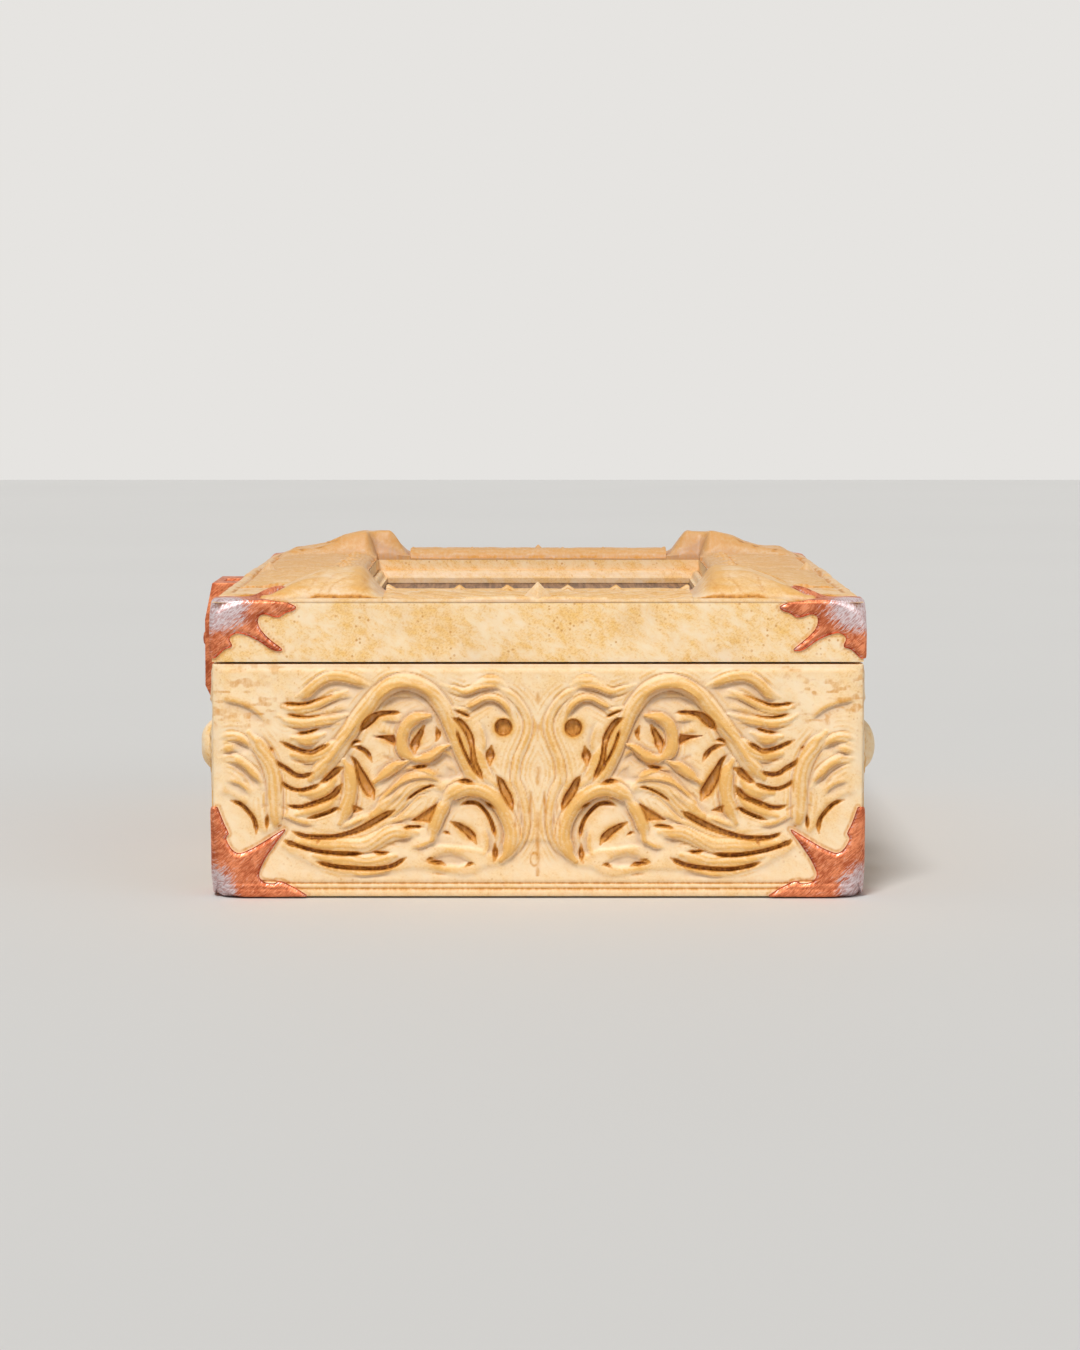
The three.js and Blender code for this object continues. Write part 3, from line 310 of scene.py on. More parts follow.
# Shallow creases, stained amber: half width and points
CREASES = (
    (0.5, ((-57, 32.2), (-55, 31.8), (-53, 31.9))),
    (0.4, ((-59.9, 21.8), (-59.3, 21.2), (-58, 20.6))),
    (0.4, ((-63.8, 21.4), (-62.5, 21.7))),
    (0.4, ((-68.2, 27.4), (-67.6, 27))),
    (0.5, ((-35.6, 33), (-34, 32.3))),
    (0.4, ((-30.7, 37.8), (-30.5, 36.5))),
    (0.5, ((-25.8, 43.4), (-25.8, 43))),
    (0.5, ((-25, 46), (-24.2, 45))),
    (0.45, ((-35.3, 12.6), (-33, 12.4))),
    (0.5, ((-5.2, 18.4), (-5.2, 16))),
    (0.5, ((-1.8, 22), (-1.9, 20), (-1.6, 18.4))),
    (0.35, ((-4.6, 22.5), (-4.5, 20))),
    (0.4, ((-24.3, 5.7), (-21.7, 5.4))),
    (0.35, ((-59.3, 27.5), (-59.6, 24.5))),
    (0.45, ((-1.6, 24.6), (-1.7, 20.6))),
    (0.28, ((-47.9, 37), (-46.5, 37.1))),
    (0.2, ((-39.9, 46.8), (-39.7, 46.3))),
    (0.3, ((-27, 43.4), (-26.4, 43.3))),
)

# Hollows with straight edges: depth and corners
HOLLOWS = (
    (1.5, ((-38.2, 37.6), (-33.4, 37.9), (-32.9, 36.6), (-33.2, 35.5), (-34.2, 36), (-35.8, 37))),
    (0.8, ((-60.4, 17), (-59.6, 17), (-58.7, 16.2), (-60, 15.9))),
    (0.7, ((-43, 21.8), (-40.4, 20.5), (-43, 19.7))),
    (1.0, ((-29.5, 18), (-23.2, 22.2), (-25, 17.6))),
)

# Drilled eyes: radius, depth and centre
EYES = (
    (2.0, 1.5, (-8, 39.8)),
)

# Floors sunk between the strands: depth and corners
GROUNDS = (
    (0.6, ((-46, 29), (-42.5, 39), (-37.5, 46.8), (-31.3, 49.4), (-26, 47.6), (-22.3, 43), (-16, 29),
           (-20, 27), (-26, 27.3), (-31, 25), (-38, 19.4), (-44, 17.5), (-45.5, 22))),
    (0.9, ((-25.4, 8.6), (-23.2, 10.2), (-20.3, 10.7), (-17.4, 9.9), (-15.2, 8.1), (-18.3, 7), (-22, 7.1))),
    (0.6, ((-24, 12), (-24, 16), (-20, 23.6), (-15, 25.6), (-9.5, 22.6), (-6.3, 16.6), (-6.8, 11), (-9, 9),
           (-14, 11))),
)

# How fast the lines combed along a strand follow each other, as an angle for each millimetre
LINE_TURN = 5.2

# A round mark stained into the wall at its middle line: centre, half width and half height
RING_MARK = ((-0.8, 9.0), 0.9, 1.5)

# The carved field stands a little above the plain foot of the wall, inside this line
FIELD_RISE = 0.4
FIELD_EDGE = (
    (-78, 25), (-71.5, 23.6), (-67.6, 21), (-65.4, 16.5), (-62, 12.4), (-59, 11), (-58, 10), (-55, 8.8),
    (-52, 7), (-49, 6), (-45, 5), (-40, 4.6), (-36, 5), (-32, 6), (-29, 6.5), (-26, 6.4), (-23, 5.9),
    (-20, 5.2), (-17, 4.8), (-14.5, 5.4), (-12.5, 6.8), (-9.5, 7.2), (-7, 8.3), (-5, 10.3), (-3.3, 12.6),
    (1, 13.4), (1, 60), (-78, 60),
)

# Where each side and each corner comes in its table
ORDER = {row[0]: place for table in (SIDES, CORNERS) for place, row in enumerate(table)}

# Room between a part and the groove or rebate that holds it
ROOM = 0.3
# How far the lining and the window's bead reach into what they rest on
LET_IN = 0.26
# Radii of the walls' upper edge and of the rails' lower edge
WALL_RIM = 0.35
RAIL_RIM = 0.3
# Thickness of the mounts' plates, and how far and from where a lid mount's spike climbs its block
MOUNT_THICKNESS = 1.0
SPIKE_CLIMB = 2.5
SPIKE_FOOT = 7.5

# The border's rise above the rails, from its outer edge inward
BORDER_RISE = (
    (0, 0.35), (0.3, 0.5), (0.6, 0.75), (1.0, 0.85), (2.0, 0.85), (2.7, 0.5), (3.4, 0.55), (6.5, 1.2),
    (12, 1.5), (18, 1.7), (24, 1.85), (27.6, 1.75), (29.2, 1.2), (30, 0.4),
)
# One leaf of the border, along it and inward, and how far apart the leaves start
LEAF = ((-1.0, 3.6), (5.0, 6.2), (11.0, 11.2), (16.0, 17.2), (19.5, 23.2))
LEAF_STEP = 8.5
# Small peaks on the border, from its middle, and half of the raised plaque on its lip round the stud
PEAKS = (6.9, 18.4, 35.6, 51.0, 66.0)
PEAK_INSET = 24.5
PLAQUE_HALF = 16.6
# Height of the border's flat place round the stud
STUD_BED = 0.12

# The corner blocks' rise above the rails: in from the lid's long side, for the near and for the far blocks
BLOCK_ACROSS = (
    ((0, 0.35), (0.3, 0.5), (0.8, 0.8), (6, 1.1), (10, 1.2), (13.2, 1.4), (15.7, 2.7), (18, 3.9), (21, 5.2),
     (24.3, 6.3), (27, 7.0), (30, 7.1)),
    ((0, 0.35), (0.3, 0.5), (0.8, 0.8), (2.5, 1.2), (7, 2.9), (13, 3.6), (16.5, 4.6), (20.7, 6.5),
     (24.3, 7.7), (27, 8.1), (30, 8.1)),
)
# The same, in from the lid's end, for all four
BLOCK_ALONG = (
    (0, 0.35), (0.3, 0.5), (0.7, 0.85), (1.8, 0.95), (2.5, 0.9), (3.4, 1.7), (6, 3.4), (10, 5.0), (15, 6.3),
    (20, 7.2), (24, 8.2), (30, 8.4),
)
# The groove along a block's lip, in from its two sides
BLOCK_LIP = ((22.5, 2.2), (24.5, 3.1), (29, 2.9), (34, 3.0), (38, 2.4))
# A block's dents: width, points, depth and stain
BLOCK_DENTS = (
    (0.8, ((13, 20), (15, 23), (19, 25), (24, 25.5)), 0.45, 0.45),
    (0.6, ((16, 28), (20, 29), (24, 29.4)), 0.4, 0.4),
    (0.9, ((17, 32), (19, 33.4)), 0.5, 0.8),
    (0.8, ((13.4, 32.5), (15, 34)), 0.5, 0.75),
    (0.8, ((5, 30), (6.5, 32)), 0.45, 0.7),
    (0.7, ((8.6, 33), (9.6, 35)), 0.4, 0.6),
)
BLOCK_HOLES = ((7.2, 14.6), (11.2, 14.4), (14.4, 7.6), (14.6, 11.4))

# A side boss's dome: radius, and share of its whole rise
BOSS_DOME = ((0.01, 1), (2.4, 0.95), (4.3, 0.8), (5.7, 0.56), (6.35, 0.34))
# The window bead's section: in from its outer edge, and down from its top
BEAD_STEPS = (
    (0, 0.5), (0.15, 0.15), (0.5, 0), (1.0, 0.05), (1.5, 0.4), (1.75, 0.95), (1.95, 1.5), (2.3, 1.9),
    (2.7, 2.1),
)

# The slot and the finish of the metal parts
COPPER = ("copper", "copper_sheet")
STEEL = ("steel", "steel_parts")


# Lines and fields


def smoothstep(value):
    """0 below 0, 1 above 1, and a smooth rise between them."""
    t = np.clip(value, 0.0, 1.0)
    return t * t * (3 - 2 * t)


def bell(value, middle, width):
    """1 where a value is at the middle, falling away on both sides."""
    return np.exp(-(((value - middle) / width) ** 2))


def ripple(x, z, size, seed):
    """Smooth random waves from -1 to 1, about size across."""
    count = 64
    lattice = np.random.default_rng(seed).uniform(-1, 1, (count, count))
    u, v = x / size, z / size
    column, row = np.floor(u).astype(int), np.floor(v).astype(int)
    across, up = smoothstep(u - column), smoothstep(v - row)
    left, right = column % count, (column + 1) % count
    low, high = row % count, (row + 1) % count
    below = lattice[low, left] * (1 - across) + lattice[low, right] * across
    above = lattice[high, left] * (1 - across) + lattice[high, right] * across
    return below * (1 - up) + above * up


def flow(points, widths=1.0, step=0.7):
    """A smooth line through the points, as rows of x, z and half width."""
    rows = np.column_stack([np.array(points, float), np.full(len(points), 1.0) * np.array(widths)])
    rows = np.vstack([2 * rows[0] - rows[1], rows, 2 * rows[-1] - rows[-2]])
    made = []
    for a, b, c, d in zip(rows, rows[1:], rows[2:], rows[3:]):
        pieces = max(1, math.ceil(np.hypot(*(c - b)[:2]) / step))
        for k in range(pieces):
            t = k / pieces
            made.append(0.5 * (2 * b + (c - a) * t + (2 * a - 5 * b + 4 * c - d) * t**2
                               + (3 * b - a - 3 * c + d) * t**3))
    made.append(rows[-2])
    return np.array(made)


def flat_flow(points):
    """A smooth line through the points, as a list of pairs."""
    return [tuple(row[:2]) for row in flow(points)]


def inside(x, z, outline):
    """True for the points inside a closed outline."""
    found = np.zeros(x.shape, bool)
    for (ax, az), (bx, bz) in zip(outline, outline[1:] + outline[:1]):
        if az != bz:
            between = (z > min(az, bz)) & (z <= max(az, bz))
            found ^= between & (x < (bx - ax) * (z - az) / (bz - az) + ax)
    return found


def raise_to(kept, place, values):
    """Brings kept values up to at least these, at their places."""
    kept[place] = np.maximum(kept[place], values)


class Relief:
    """A carved surface over points x and z, with its stains, its worn crests and the painted shade on the low
    side of its folds.
    """

    def __init__(self, x, z):
        self.x, self.z = x.ravel(), z.ravel()
        self.shape = x.shape
        self.raised, self.folded, self.sunk, self.rim, self.comb = np.zeros((5, x.size))
        self.stain, self.crest, self.painted_shade = np.zeros((3, x.size))
        self.nearest = np.full(x.size, np.inf)

    def near(self, line, reach, taper=2.0):
        """Points within reach of a line: their place, distance, half width, side and fade at its ends."""
        low, high = line[:, :2].min(axis=0) - reach, line[:, :2].max(axis=0) + reach
        place = np.flatnonzero(
            (self.x > low[0]) & (self.x < high[0]) & (self.z > low[1]) & (self.z < high[1])
        )
        x, z = self.x[place], self.z[place]
        best = np.full(place.size, np.inf)
        width, side, along = np.zeros(place.size), np.ones(place.size), np.zeros(place.size)
        steps = np.diff(line, axis=0)
        lengths = np.hypot(steps[:, 0], steps[:, 1])
        starts = np.concatenate([[0], np.cumsum(lengths)])
        for start, step, length, begin in zip(line, steps, lengths, starts):
            if length == 0:
                continue
            dx, dz = x - start[0], z - start[1]
            t = np.clip((dx * step[0] + dz * step[1]) / length**2, 0, 1)
            off = np.hypot(dx - t * step[0], dz - t * step[1])
            closer = off < best
            best = np.where(closer, off, best)
            width = np.where(closer, start[2] + t * step[2], width)
            side = np.where(closer, np.sign(step[0] * dz - step[1] * dx), side)
            along = np.where(closer, begin + t * length, along)
        fade = smoothstep(np.minimum(along, starts[-1] - along) / taper)
        kept = best < reach
        return place[kept], best[kept], width[kept], side[kept], fade[kept]

    def within(self, corners, reach=200.0):
        """The points' places, and how far they are inside a closed outline, below 0 outside it."""
        closed = np.array(corners + corners[:1], float)
        place, off, *_ = self.near(np.column_stack([closed, np.ones(len(closed))]), reach)
        return place, np.where(inside(self.x[place], self.z[place], corners), off, -off)

    def strand(self, width, rise, points):
        """A rounded strand, with fine lines combed along it and beside it, and a thin groove at its foot."""
        place, off, half, side, fade = self.near(flow(points, width), width * 1.3 + 3.5, 4.0)
        reach = 1.25 * half * (0.4 + 0.6 * fade)
        dome = np.clip(1 - (off / reach) ** 2, 0, 1)
        lines = np.cos(LINE_TURN * side * off + 3 * ripple(self.x[place], self.z[place], 5.0, 77))
        broken = ripple(self.x[place], self.z[place], 2.4, 78)
        streak = smoothstep((lines + 0.8 * broken + 0.1) / 0.9)
        raise_to(self.raised, place, (1.35 * rise + 0.08 * lines) * dome * (0.5 + 0.5 * fade))
        raise_to(self.crest, place, fade * dome * (0.3 + 0.7 * streak))
        raise_to(self.rim, place, fade * bell(off, reach, 0.2))
        beside = fade * np.exp(-np.maximum(off - reach, 0) / 2.8)
        closer = off - reach < self.nearest[place]
        self.comb[place] = np.where(closer, streak * beside, self.comb[place])
        self.nearest[place] = np.where(closer, off - reach, self.nearest[place])

    def settle(self):
        """Cuts the grooves beside the strands where no other strand runs over them."""
        bare = self.rim * (1 - smoothstep(self.raised / 0.4))
        raise_to(self.sunk, slice(None), 0.2 * bare)
        raise_to(self.stain, slice(None), 0.26 * bare)

    def ground(self, depth, corners):
        """A softly sunk floor between the strands."""
        place, signed = self.within(corners)
        low = smoothstep((signed + 0.4) / 1.6) * (1 - smoothstep(self.raised[place] / 0.5))
        self.folded[place] -= depth * low

    def fold(self, rise, reach, points):
        """A step along a line: a raised amber edge to its left, and a slope to its right with painted shade
        on it.
        """
        place, off, _, side, fade = self.near(flow(points), reach * 3, 3.0)
        self.folded[place] += 1.6 * rise * fade * np.tanh(side * off / 0.22) * np.exp(-off / reach)
        strength = fade * smoothstep(rise / 0.4)
        raise_to(self.stain, place, 0.24 * strength * bell(off, 0, 0.4) * (side < 0))
        raise_to(self.crest, place, strength * bell(off, 0.55, 0.45) * (side > 0))
        # Painted shade on the low side of the fold, where the step's shadow falls
        raise_to(self.painted_shade, place, 0.9 * strength * np.exp(-off / 0.9) * (side < 0))

    def cut(self, width, points):
        """A slot with slanting sides and a dark edge. It thins out at its ends."""
        line = flow(points, width)
        place, off, half, _, fade = self.near(line, line[:, 2].max() + 2.4)
        half = half * (0.45 + 0.55 * fade)
        thin = smoothstep(half / 0.28)
        depth = (0.5 + 0.85 * half) * (0.35 + 0.65 * fade) * thin
        floor = 1 - smoothstep((off - half + 0.2) / 0.42)
        shoulder = 0.16 * np.exp(-np.maximum(off - half, 0) / 0.7)
        raise_to(self.sunk, place, depth * floor + shoulder * fade)
        edge = bell(off, half - 0.12, 0.26)
        deep = (0.46 + 0.46 * np.maximum(edge, 0.7 * (half < 0.5))) * (0.55 + 0.45 * fade) * thin
        stained = deep * (1 - smoothstep((off - half + 0.05) / 0.35))
        halo = 0.22 * fade * np.exp(-np.maximum(off - half, 0) / 0.6)
        raise_to(self.stain, place, np.maximum(stained, halo))

    def crease(self, width, points, depth=0.3, stain=0.45):
        """A shallow groove with soft sides."""
        place, off, half, _, fade = self.near(flow(points, width), width * 3)
        profile = bell(off, 0, half) * (0.55 + 0.45 * fade)
        raise_to(self.sunk, place, depth * profile)
        raise_to(self.stain, place, stain * profile)

    def hollow(self, depth, corners):
        """A sunk patch with an ochre floor and a dark edge."""
        place, signed = self.within(corners)
        raise_to(self.sunk, place, depth * smoothstep((signed + 0.25) / 0.5))
        raise_to(self.stain, place, np.maximum(0.75 * bell(signed, 0.3, 0.35), 0.5 * (signed > 0)))

    def eye(self, radius, depth, centre):
        """A drilled eye: a round pit with a dark rim and an ochre floor."""
        off = np.hypot(self.x - centre[0], self.z - centre[1])
        raise_to(self.sunk, slice(None), depth * (1 - smoothstep((off - radius + 0.35) / 0.5)))
        floor = 0.6 * (1 - smoothstep((off - radius + 0.2) / 0.3))
        raise_to(self.stain, slice(None), np.maximum(0.9 * bell(off, radius - 0.2, 0.34), floor))

    def field(self, rise, outline):
        """Lifts everything inside an outline, with a soft shoulder."""
        place, signed = self.within(outline)
        self.folded[place] += rise * smoothstep((signed + 0.3) / 1.3)

    def grids(self):
        """The heights, stains, crests and painted shade of the folds, each as a grid."""
        bare = (1 - smoothstep(self.sunk / 0.3)) * (1 - smoothstep(self.raised / 0.4))
        heights = self.raised + self.folded + 0.1 * self.comb * bare - self.sunk
        crests = np.maximum(self.crest, 0.85 * self.comb)
        return [values.reshape(self.shape) for values in (heights, self.stain, crests, self.painted_shade)]


def blurred(values, reach):
    """A grid of values, smoothed over reach cells in both ways."""
    weights = np.exp(-(np.arange(-2 * reach, 2 * reach + 1) / reach) ** 2)
    weights /= weights.sum()
    for axis in (0, 1):
        room = [(2 * reach, 2 * reach) if axis == k else (0, 0) for k in (0, 1)]
        padded = np.pad(values, room, mode="edge")
        total = np.zeros_like(values)
        for k, weight in enumerate(weights):
            window = [slice(None), slice(None)]
            window[axis] = slice(k, k + values.shape[axis])
            total += weight * padded[tuple(window)]
        values = total
    return values


def sunken(heights, reach, depth):
    """0 where a surface is level with what is around it or above, up to 1 where it is depth below."""
    return np.clip((blurred(heights, reach) - heights) / depth, 0, 1)


def outline_distance(u, v, points):
    """Distance of each point from an open line of points."""
    best = np.full(u.shape, np.inf)
    for (ax, ay), (bx, by) in zip(points, points[1:]):
        dx, dy = bx - ax, by - ay
        t = np.clip(((u - ax) * dx + (v - ay) * dy) / (dx * dx + dy * dy), 0, 1)
        best = np.minimum(best, np.hypot(u - ax - t * dx, v - ay - t * dy))
    return best


def outside_mount(u, v, outline):
    """Distance of face points outside a mount's outline, below 0 where the mount covers them."""
    line = flat_flow(outline)
    beyond = -5.0
    covered = inside(u, v, [(beyond, beyond), (line[0][0], beyond)] + line + [(beyond, line[-1][1])])
    off = outline_distance(u, v, line)
    return np.where(covered, -off, off)


def ease(parts, radius):
    """Wears the edge or corner between outer faces round. The parts run inward from the faces."""
    over = [np.maximum(radius - part, 0) for part in parts]
    most = np.maximum.reduce(over)
    length = np.sqrt(sum(part**2 for part in over))
    share = np.where(length > 0, most / np.maximum(length, 1e-9), 1)
    return [np.where(cut > 0, radius - cut * share, part) for cut, part in zip(over, parts)]


def ease_corner(a, b, c, edge, stretch=1.0):
    """Wears the box's edges and corner round. a, b and c run inward from its three outer faces.

    edge is the radius along the edges. stretch draws the round corner out along c.
    """
    stretch = 1 + (stretch - 1) * (1 - smoothstep(np.maximum(a, b) / CORNER_EASE))
    c = c / stretch
    furthest = np.maximum(np.maximum(a, b), c)
    radius = edge + (CORNER_ROUND - edge) * (1 - smoothstep(furthest / CORNER_EASE))
    a, b, c = ease((a, b, c), radius)
    return a, b, c * stretch


# Meshes


def points_of(mesh):
    flat = np.empty(len(mesh.vertices) * 3)
    mesh.vertices.foreach_get("co", flat)
    return flat.reshape(-1, 3)


def set_points(mesh, points):
    mesh.vertices.foreach_set("co", np.ascontiguousarray(points, dtype=float).ravel())
    mesh.update()


def set_attribute(mesh, name, values):
    """Stores one number for each vertex. A short list is filled up with zeros."""
    full = np.zeros(len(mesh.vertices))
    full[: len(values)] = values
    layer = mesh.attributes.new(name, "FLOAT", "POINT")
    layer.data.foreach_set("value", full)


def to_mesh(bm, name):
    mesh = bpy.data.meshes.new(name)
    bm.to_mesh(mesh)
    bm.free()
    return mesh


def add_piece(mesh, body, slot, material, node, sharp=40.0):
    """Adds a finished mesh, already in metres and in place, as a piece that rides on a body."""
    bm = bmesh.new()
    bm.from_mesh(mesh)
    limit = math.radians(sharp)
    for face in bm.faces:
        face.smooth = True
    for edge in bm.edges:
        edge.smooth = len(edge.link_faces) == 2 and edge.calc_face_angle(0) < limit
    bm.to_mesh(mesh)
    bm.free()
    piece = bpy.data.objects.new(mesh.name, mesh)
    bpy.context.scene.collection.objects.link(piece)
    mesh.materials.append(finish(material))
    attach(piece, body)
    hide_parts(node)
    return piece


def in_place(mesh, matrix=Matrix.Identity(4)):
    """Moves a mesh from its own millimetres to its place in the frame, and keeps its faces outward."""
    mesh.transform(Matrix.Scale(MM, 4) @ matrix)
    if matrix.determinant() < 0:
        mesh.flip_normals()
    return mesh


def side_matrix(span, turn):
    """From a side's own axes to the box: local -y faces out."""
    return Matrix.Rotation(turn, 4, "Z") @ Matrix.Translation((0, -span, 0))


def corner_matrix(x, y, height, up):
    """From a corner's own axes, which run inward, to the box."""
    place = Matrix.Translation((x * HALF_WIDTH, y * HALF_LENGTH, height))
    return place @ Matrix.Diagonal((-x, -y, up, 1))


def fine_grid(x_span, y_span, spacing, turn=Matrix.Identity(4)):
    """A bmesh grid over two spans, turned about its middle, and its rows and columns of vertices."""
    (x_low, x_high), (y_low, y_high) = x_span, y_span
    columns, rows = round((x_high - x_low) / spacing), round((y_high - y_low) / spacing)
    bm = bmesh.new()
    bmesh.ops.create_grid(bm, x_segments=columns, y_segments=rows, size=1)
    place = turn @ Matrix.Translation(((x_low + x_high) / 2, (y_low + y_high) / 2, 0))
    size = Matrix.Diagonal(((x_high - x_low) / 2, (y_high - y_low) / 2, 1, 1))
    bmesh.ops.transform(bm, matrix=place @ size, verts=bm.verts)
    return bm, (rows + 1, columns + 1)


def open_edges(bm):
    return [edge for edge in bm.edges if edge.is_boundary]


def extruded_ring(bm, edges):
    """Extrudes a loop of edges. Returns the new vertices and the new loop's own edges."""
    made = bmesh.ops.extrude_edge_only(bm, edges=edges)["geom"]
    verts = [item for item in made if isinstance(item, bmesh.types.BMVert)]
    known = set(verts)
    joined = [item for item in made if isinstance(item, bmesh.types.BMEdge)]
    return verts, [edge for edge in joined if known.issuperset(edge.verts)]


def closed_up(bm, edges):
    """Fills the last loop and turns the faces outward."""
    bmesh.ops.edgeloop_fill(bm, edges=edges)
    bmesh.ops.recalc_face_normals(bm, faces=bm.faces)
    return bm


def faced_bar(name, half, low, high, spacing, rings):
    """A bar along x with a finely divided face at inward 0 and closed behind it.

    rings are the loops behind the face: how far inward, half length, lowest and highest height.
    Returns the mesh, its points, and x and z over the face, whose vertices come first, row by row.
    """
    bm, shape = fine_grid((-half, half), (low, high), spacing, Matrix.Rotation(math.pi / 2, 4, "X"))
    edges = open_edges(bm)
    last_half, last_low, last_high = half, low, high
    for inward, ring_half, ring_low, ring_high in rings:
        verts, edges = extruded_ring(bm, edges)
        for vert in verts:
            share = (vert.co.z - last_low) / (last_high - last_low)
            vert.co = (vert.co.x * ring_half / last_half, inward, ring_low + share * (ring_high - ring_low))
        last_half, last_low, last_high = ring_half, ring_low, ring_high
    mesh = to_mesh(closed_up(bm, edges), name)
    points = points_of(mesh)
    face = points[: shape[0] * shape[1]].reshape(*shape, 3)
    return mesh, points, face[..., 0].copy(), face[..., 2].copy()


def raise_face(mesh, points, heights, **tints):
    """Sets a faced bar's points, lifts its face by the heights, and stores the face's tints."""
    points[: heights.size, 1] -= heights.ravel()
    set_points(mesh, points)
    for label, values in tints.items():
        set_attribute(mesh, label, values.ravel())


def lid_stain_and_shade(share):
    """The stain and the painted shade all over the lid's carving, at a share of the way to the far end."""
    return [near + (far - near) * share for near, far in zip(*LID_STAIN_AND_SHADE)]


def topped_slab(name, x_span, y_span, foot, spacing, carve, keep=None, far_share=None):
    """A slab with a finely divided, carved top and a flat foot.

    carve(x, y) gives the top's heights, and may give stains, painted shade in the hollows, and crests after
    them.
    keep(x, y) tells which faces stay. The last function, of x and y, gives how far towards the far end a
    point is, where more stain and painted shade are laid on.
    """
    bm, shape = fine_grid(x_span, y_span, spacing)
    spots = np.array([vert.co[:2] for vert in bm.verts])
    heights, *tints = carve(spots[:, 0].reshape(shape), spots[:, 1].reshape(shape))
    layers = [bm.verts.layers.float.new(label) for label in ("stain", "hollow", "crest")]
    for vert, height, *amounts in zip(bm.verts, heights.ravel(), *(tint.ravel() for tint in tints)):
        vert.co.z = height
        for layer, amount in zip(layers, amounts):
            vert[layer] = amount
    for vert in bm.verts if far_share else ():
        for layer, amount in zip(layers, lid_stain_and_shade(far_share(*vert.co[:2]))):
            vert[layer] += amount
    if keep:
        gone = [face for face in bm.faces if not keep(*face.calc_center_median()[:2])]
        bmesh.ops.delete(bm, geom=gone, context="FACES")
    verts, edges = extruded_ring(bm, open_edges(bm))
    for vert in verts:
        vert.co.z = foot
    return to_mesh(closed_up(bm, edges), name)


def picture_frame(profile, half_x, half_y):
    """A closed rectangular ring. profile is its section: in from the outer edge, and height."""
    bm = bmesh.new()
    inset, height = profile[0]
    signs = ((-1, -1), (1, -1), (1, 1), (-1, 1))
    loop = [bm.verts.new((x * (half_x - inset), y * (half_y - inset), height)) for x, y in signs]
    edges = [bm.edges.new((loop[k], loop[(k + 1) % 4])) for k in range(4)]
    for inset, height in profile[1:] + profile[:1]:
        verts, edges = extruded_ring(bm, edges)
        for vert in verts:
            x, y = math.copysign(half_x - inset, vert.co.x), math.copysign(half_y - inset, vert.co.y)
            vert.co = (x, y, height)
    bmesh.ops.remove_doubles(bm, verts=bm.verts, dist=1e-4)
    bmesh.ops.recalc_face_normals(bm, faces=bm.faces)
    return bm


def turned_piece(profile, steps):
    """A turned piece about x. profile holds radius and x, from the axis to the axis."""
    bm = bmesh.new()
    verts = [bm.verts.new((x, radius, 0)) for radius, x in profile]
    edges = [bm.edges.new(pair) for pair in zip(verts, verts[1:])]
    bmesh.ops.spin(
        bm, geom=verts + edges, cent=(0, 0, 0), axis=(1, 0, 0), angle=2 * math.pi, steps=steps,
        use_merge=True,
    )
    bmesh.ops.remove_doubles(bm, verts=bm.verts, dist=1e-4)
    bmesh.ops.recalc_face_normals(bm, faces=bm.faces)
    return bm


def merged_copy(node):
    """A frame node's shape as a bmesh in millimetres, with its loose triangles joined up."""
    bm = bmesh.new()
    bm.from_mesh(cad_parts[node].data)
    bmesh.ops.scale(bm, vec=(1 / MM,) * 3, verts=bm.verts)
    bmesh.ops.remove_doubles(bm, verts=bm.verts, dist=1e-3)
    bmesh.ops.dissolve_limit(bm, angle_limit=math.radians(1), verts=bm.verts, edges=bm.edges)
    return bm


def soften_edges(bm, width, segments):
    """Rounds every edge that turns more than 30 degrees."""
    limit = math.radians(30)
    edges = [edge for edge in bm.edges if len(edge.link_faces) == 2 and edge.calc_face_angle(0) > limit]
    bmesh.ops.bevel(
        bm, geom=edges, offset=width, offset_type="OFFSET", segments=segments, profile=0.5,
        affect="EDGES", clamp_overlap=True, material=-1,
    )


def remeshed(mesh, voxel):
    """The mesh as one even shell of small cells, smoothed a little."""
    helper = bpy.data.objects.new("helper", mesh)
    bpy.context.scene.collection.objects.link(helper)
    modifier = helper.modifiers.new("shape", "REMESH")
    modifier.mode, modifier.voxel_size = "VOXEL", voxel
    graph = bpy.context.evaluated_depsgraph_get()
    made = bpy.data.meshes.new_from_object(helper.evaluated_get(graph))
    bpy.data.objects.remove(helper)
    bpy.data.meshes.remove(mesh)
    bm = bmesh.new()
    bm.from_mesh(made)
    axes = {f"use_axis_{axis}": True for axis in "xyz"}
    for _ in range(2):
        bmesh.ops.smooth_vert(bm, verts=bm.verts, factor=0.5, **axes)
    bm.to_mesh(made)
    bm.free()
    return made


# Colours and finishes


def linear(text):
    """A colour as the renderer counts it, from its written form."""
    parts = [int(text[k:k + 2], 16) / 255 for k in (0, 2, 4)]
    return tuple(part / 12.92 if part <= 0.04045 else ((part + 0.055) / 1.055) ** 2.4 for part in parts)


class Value:
    """What a node puts out. Reckoning with it adds the nodes that do so."""

    def __init__(self, nodes, socket):
        self.nodes, self.socket = nodes, socket

    def __add__(self, other):
        return self.nodes.math("ADD", self, other)

    def __sub__(self, other):
        return self.nodes.math("SUBTRACT", self, other)

    def __mul__(self, other):
        return self.nodes.math("MULTIPLY", self, other)

    def __truediv__(self, other):
        return self.nodes.math("DIVIDE", self, other)

    def most(self, other):
        return self.nodes.math("MAXIMUM", self, other)

    def other(self, output):
        """Another output of the same node."""
        return Value(self.nodes, self.socket.node.outputs[output])

    def rise(self, low, high, to_low=0.0, to_high=1.0):
        """A smooth change of the value from one range to another."""
        inputs = {"Value": self, "From Min": low, "From Max": high, "To Min": to_low, "To Max": to_high}
        return self.nodes.add("MapRange", inputs, interpolation_type="SMOOTHSTEP")


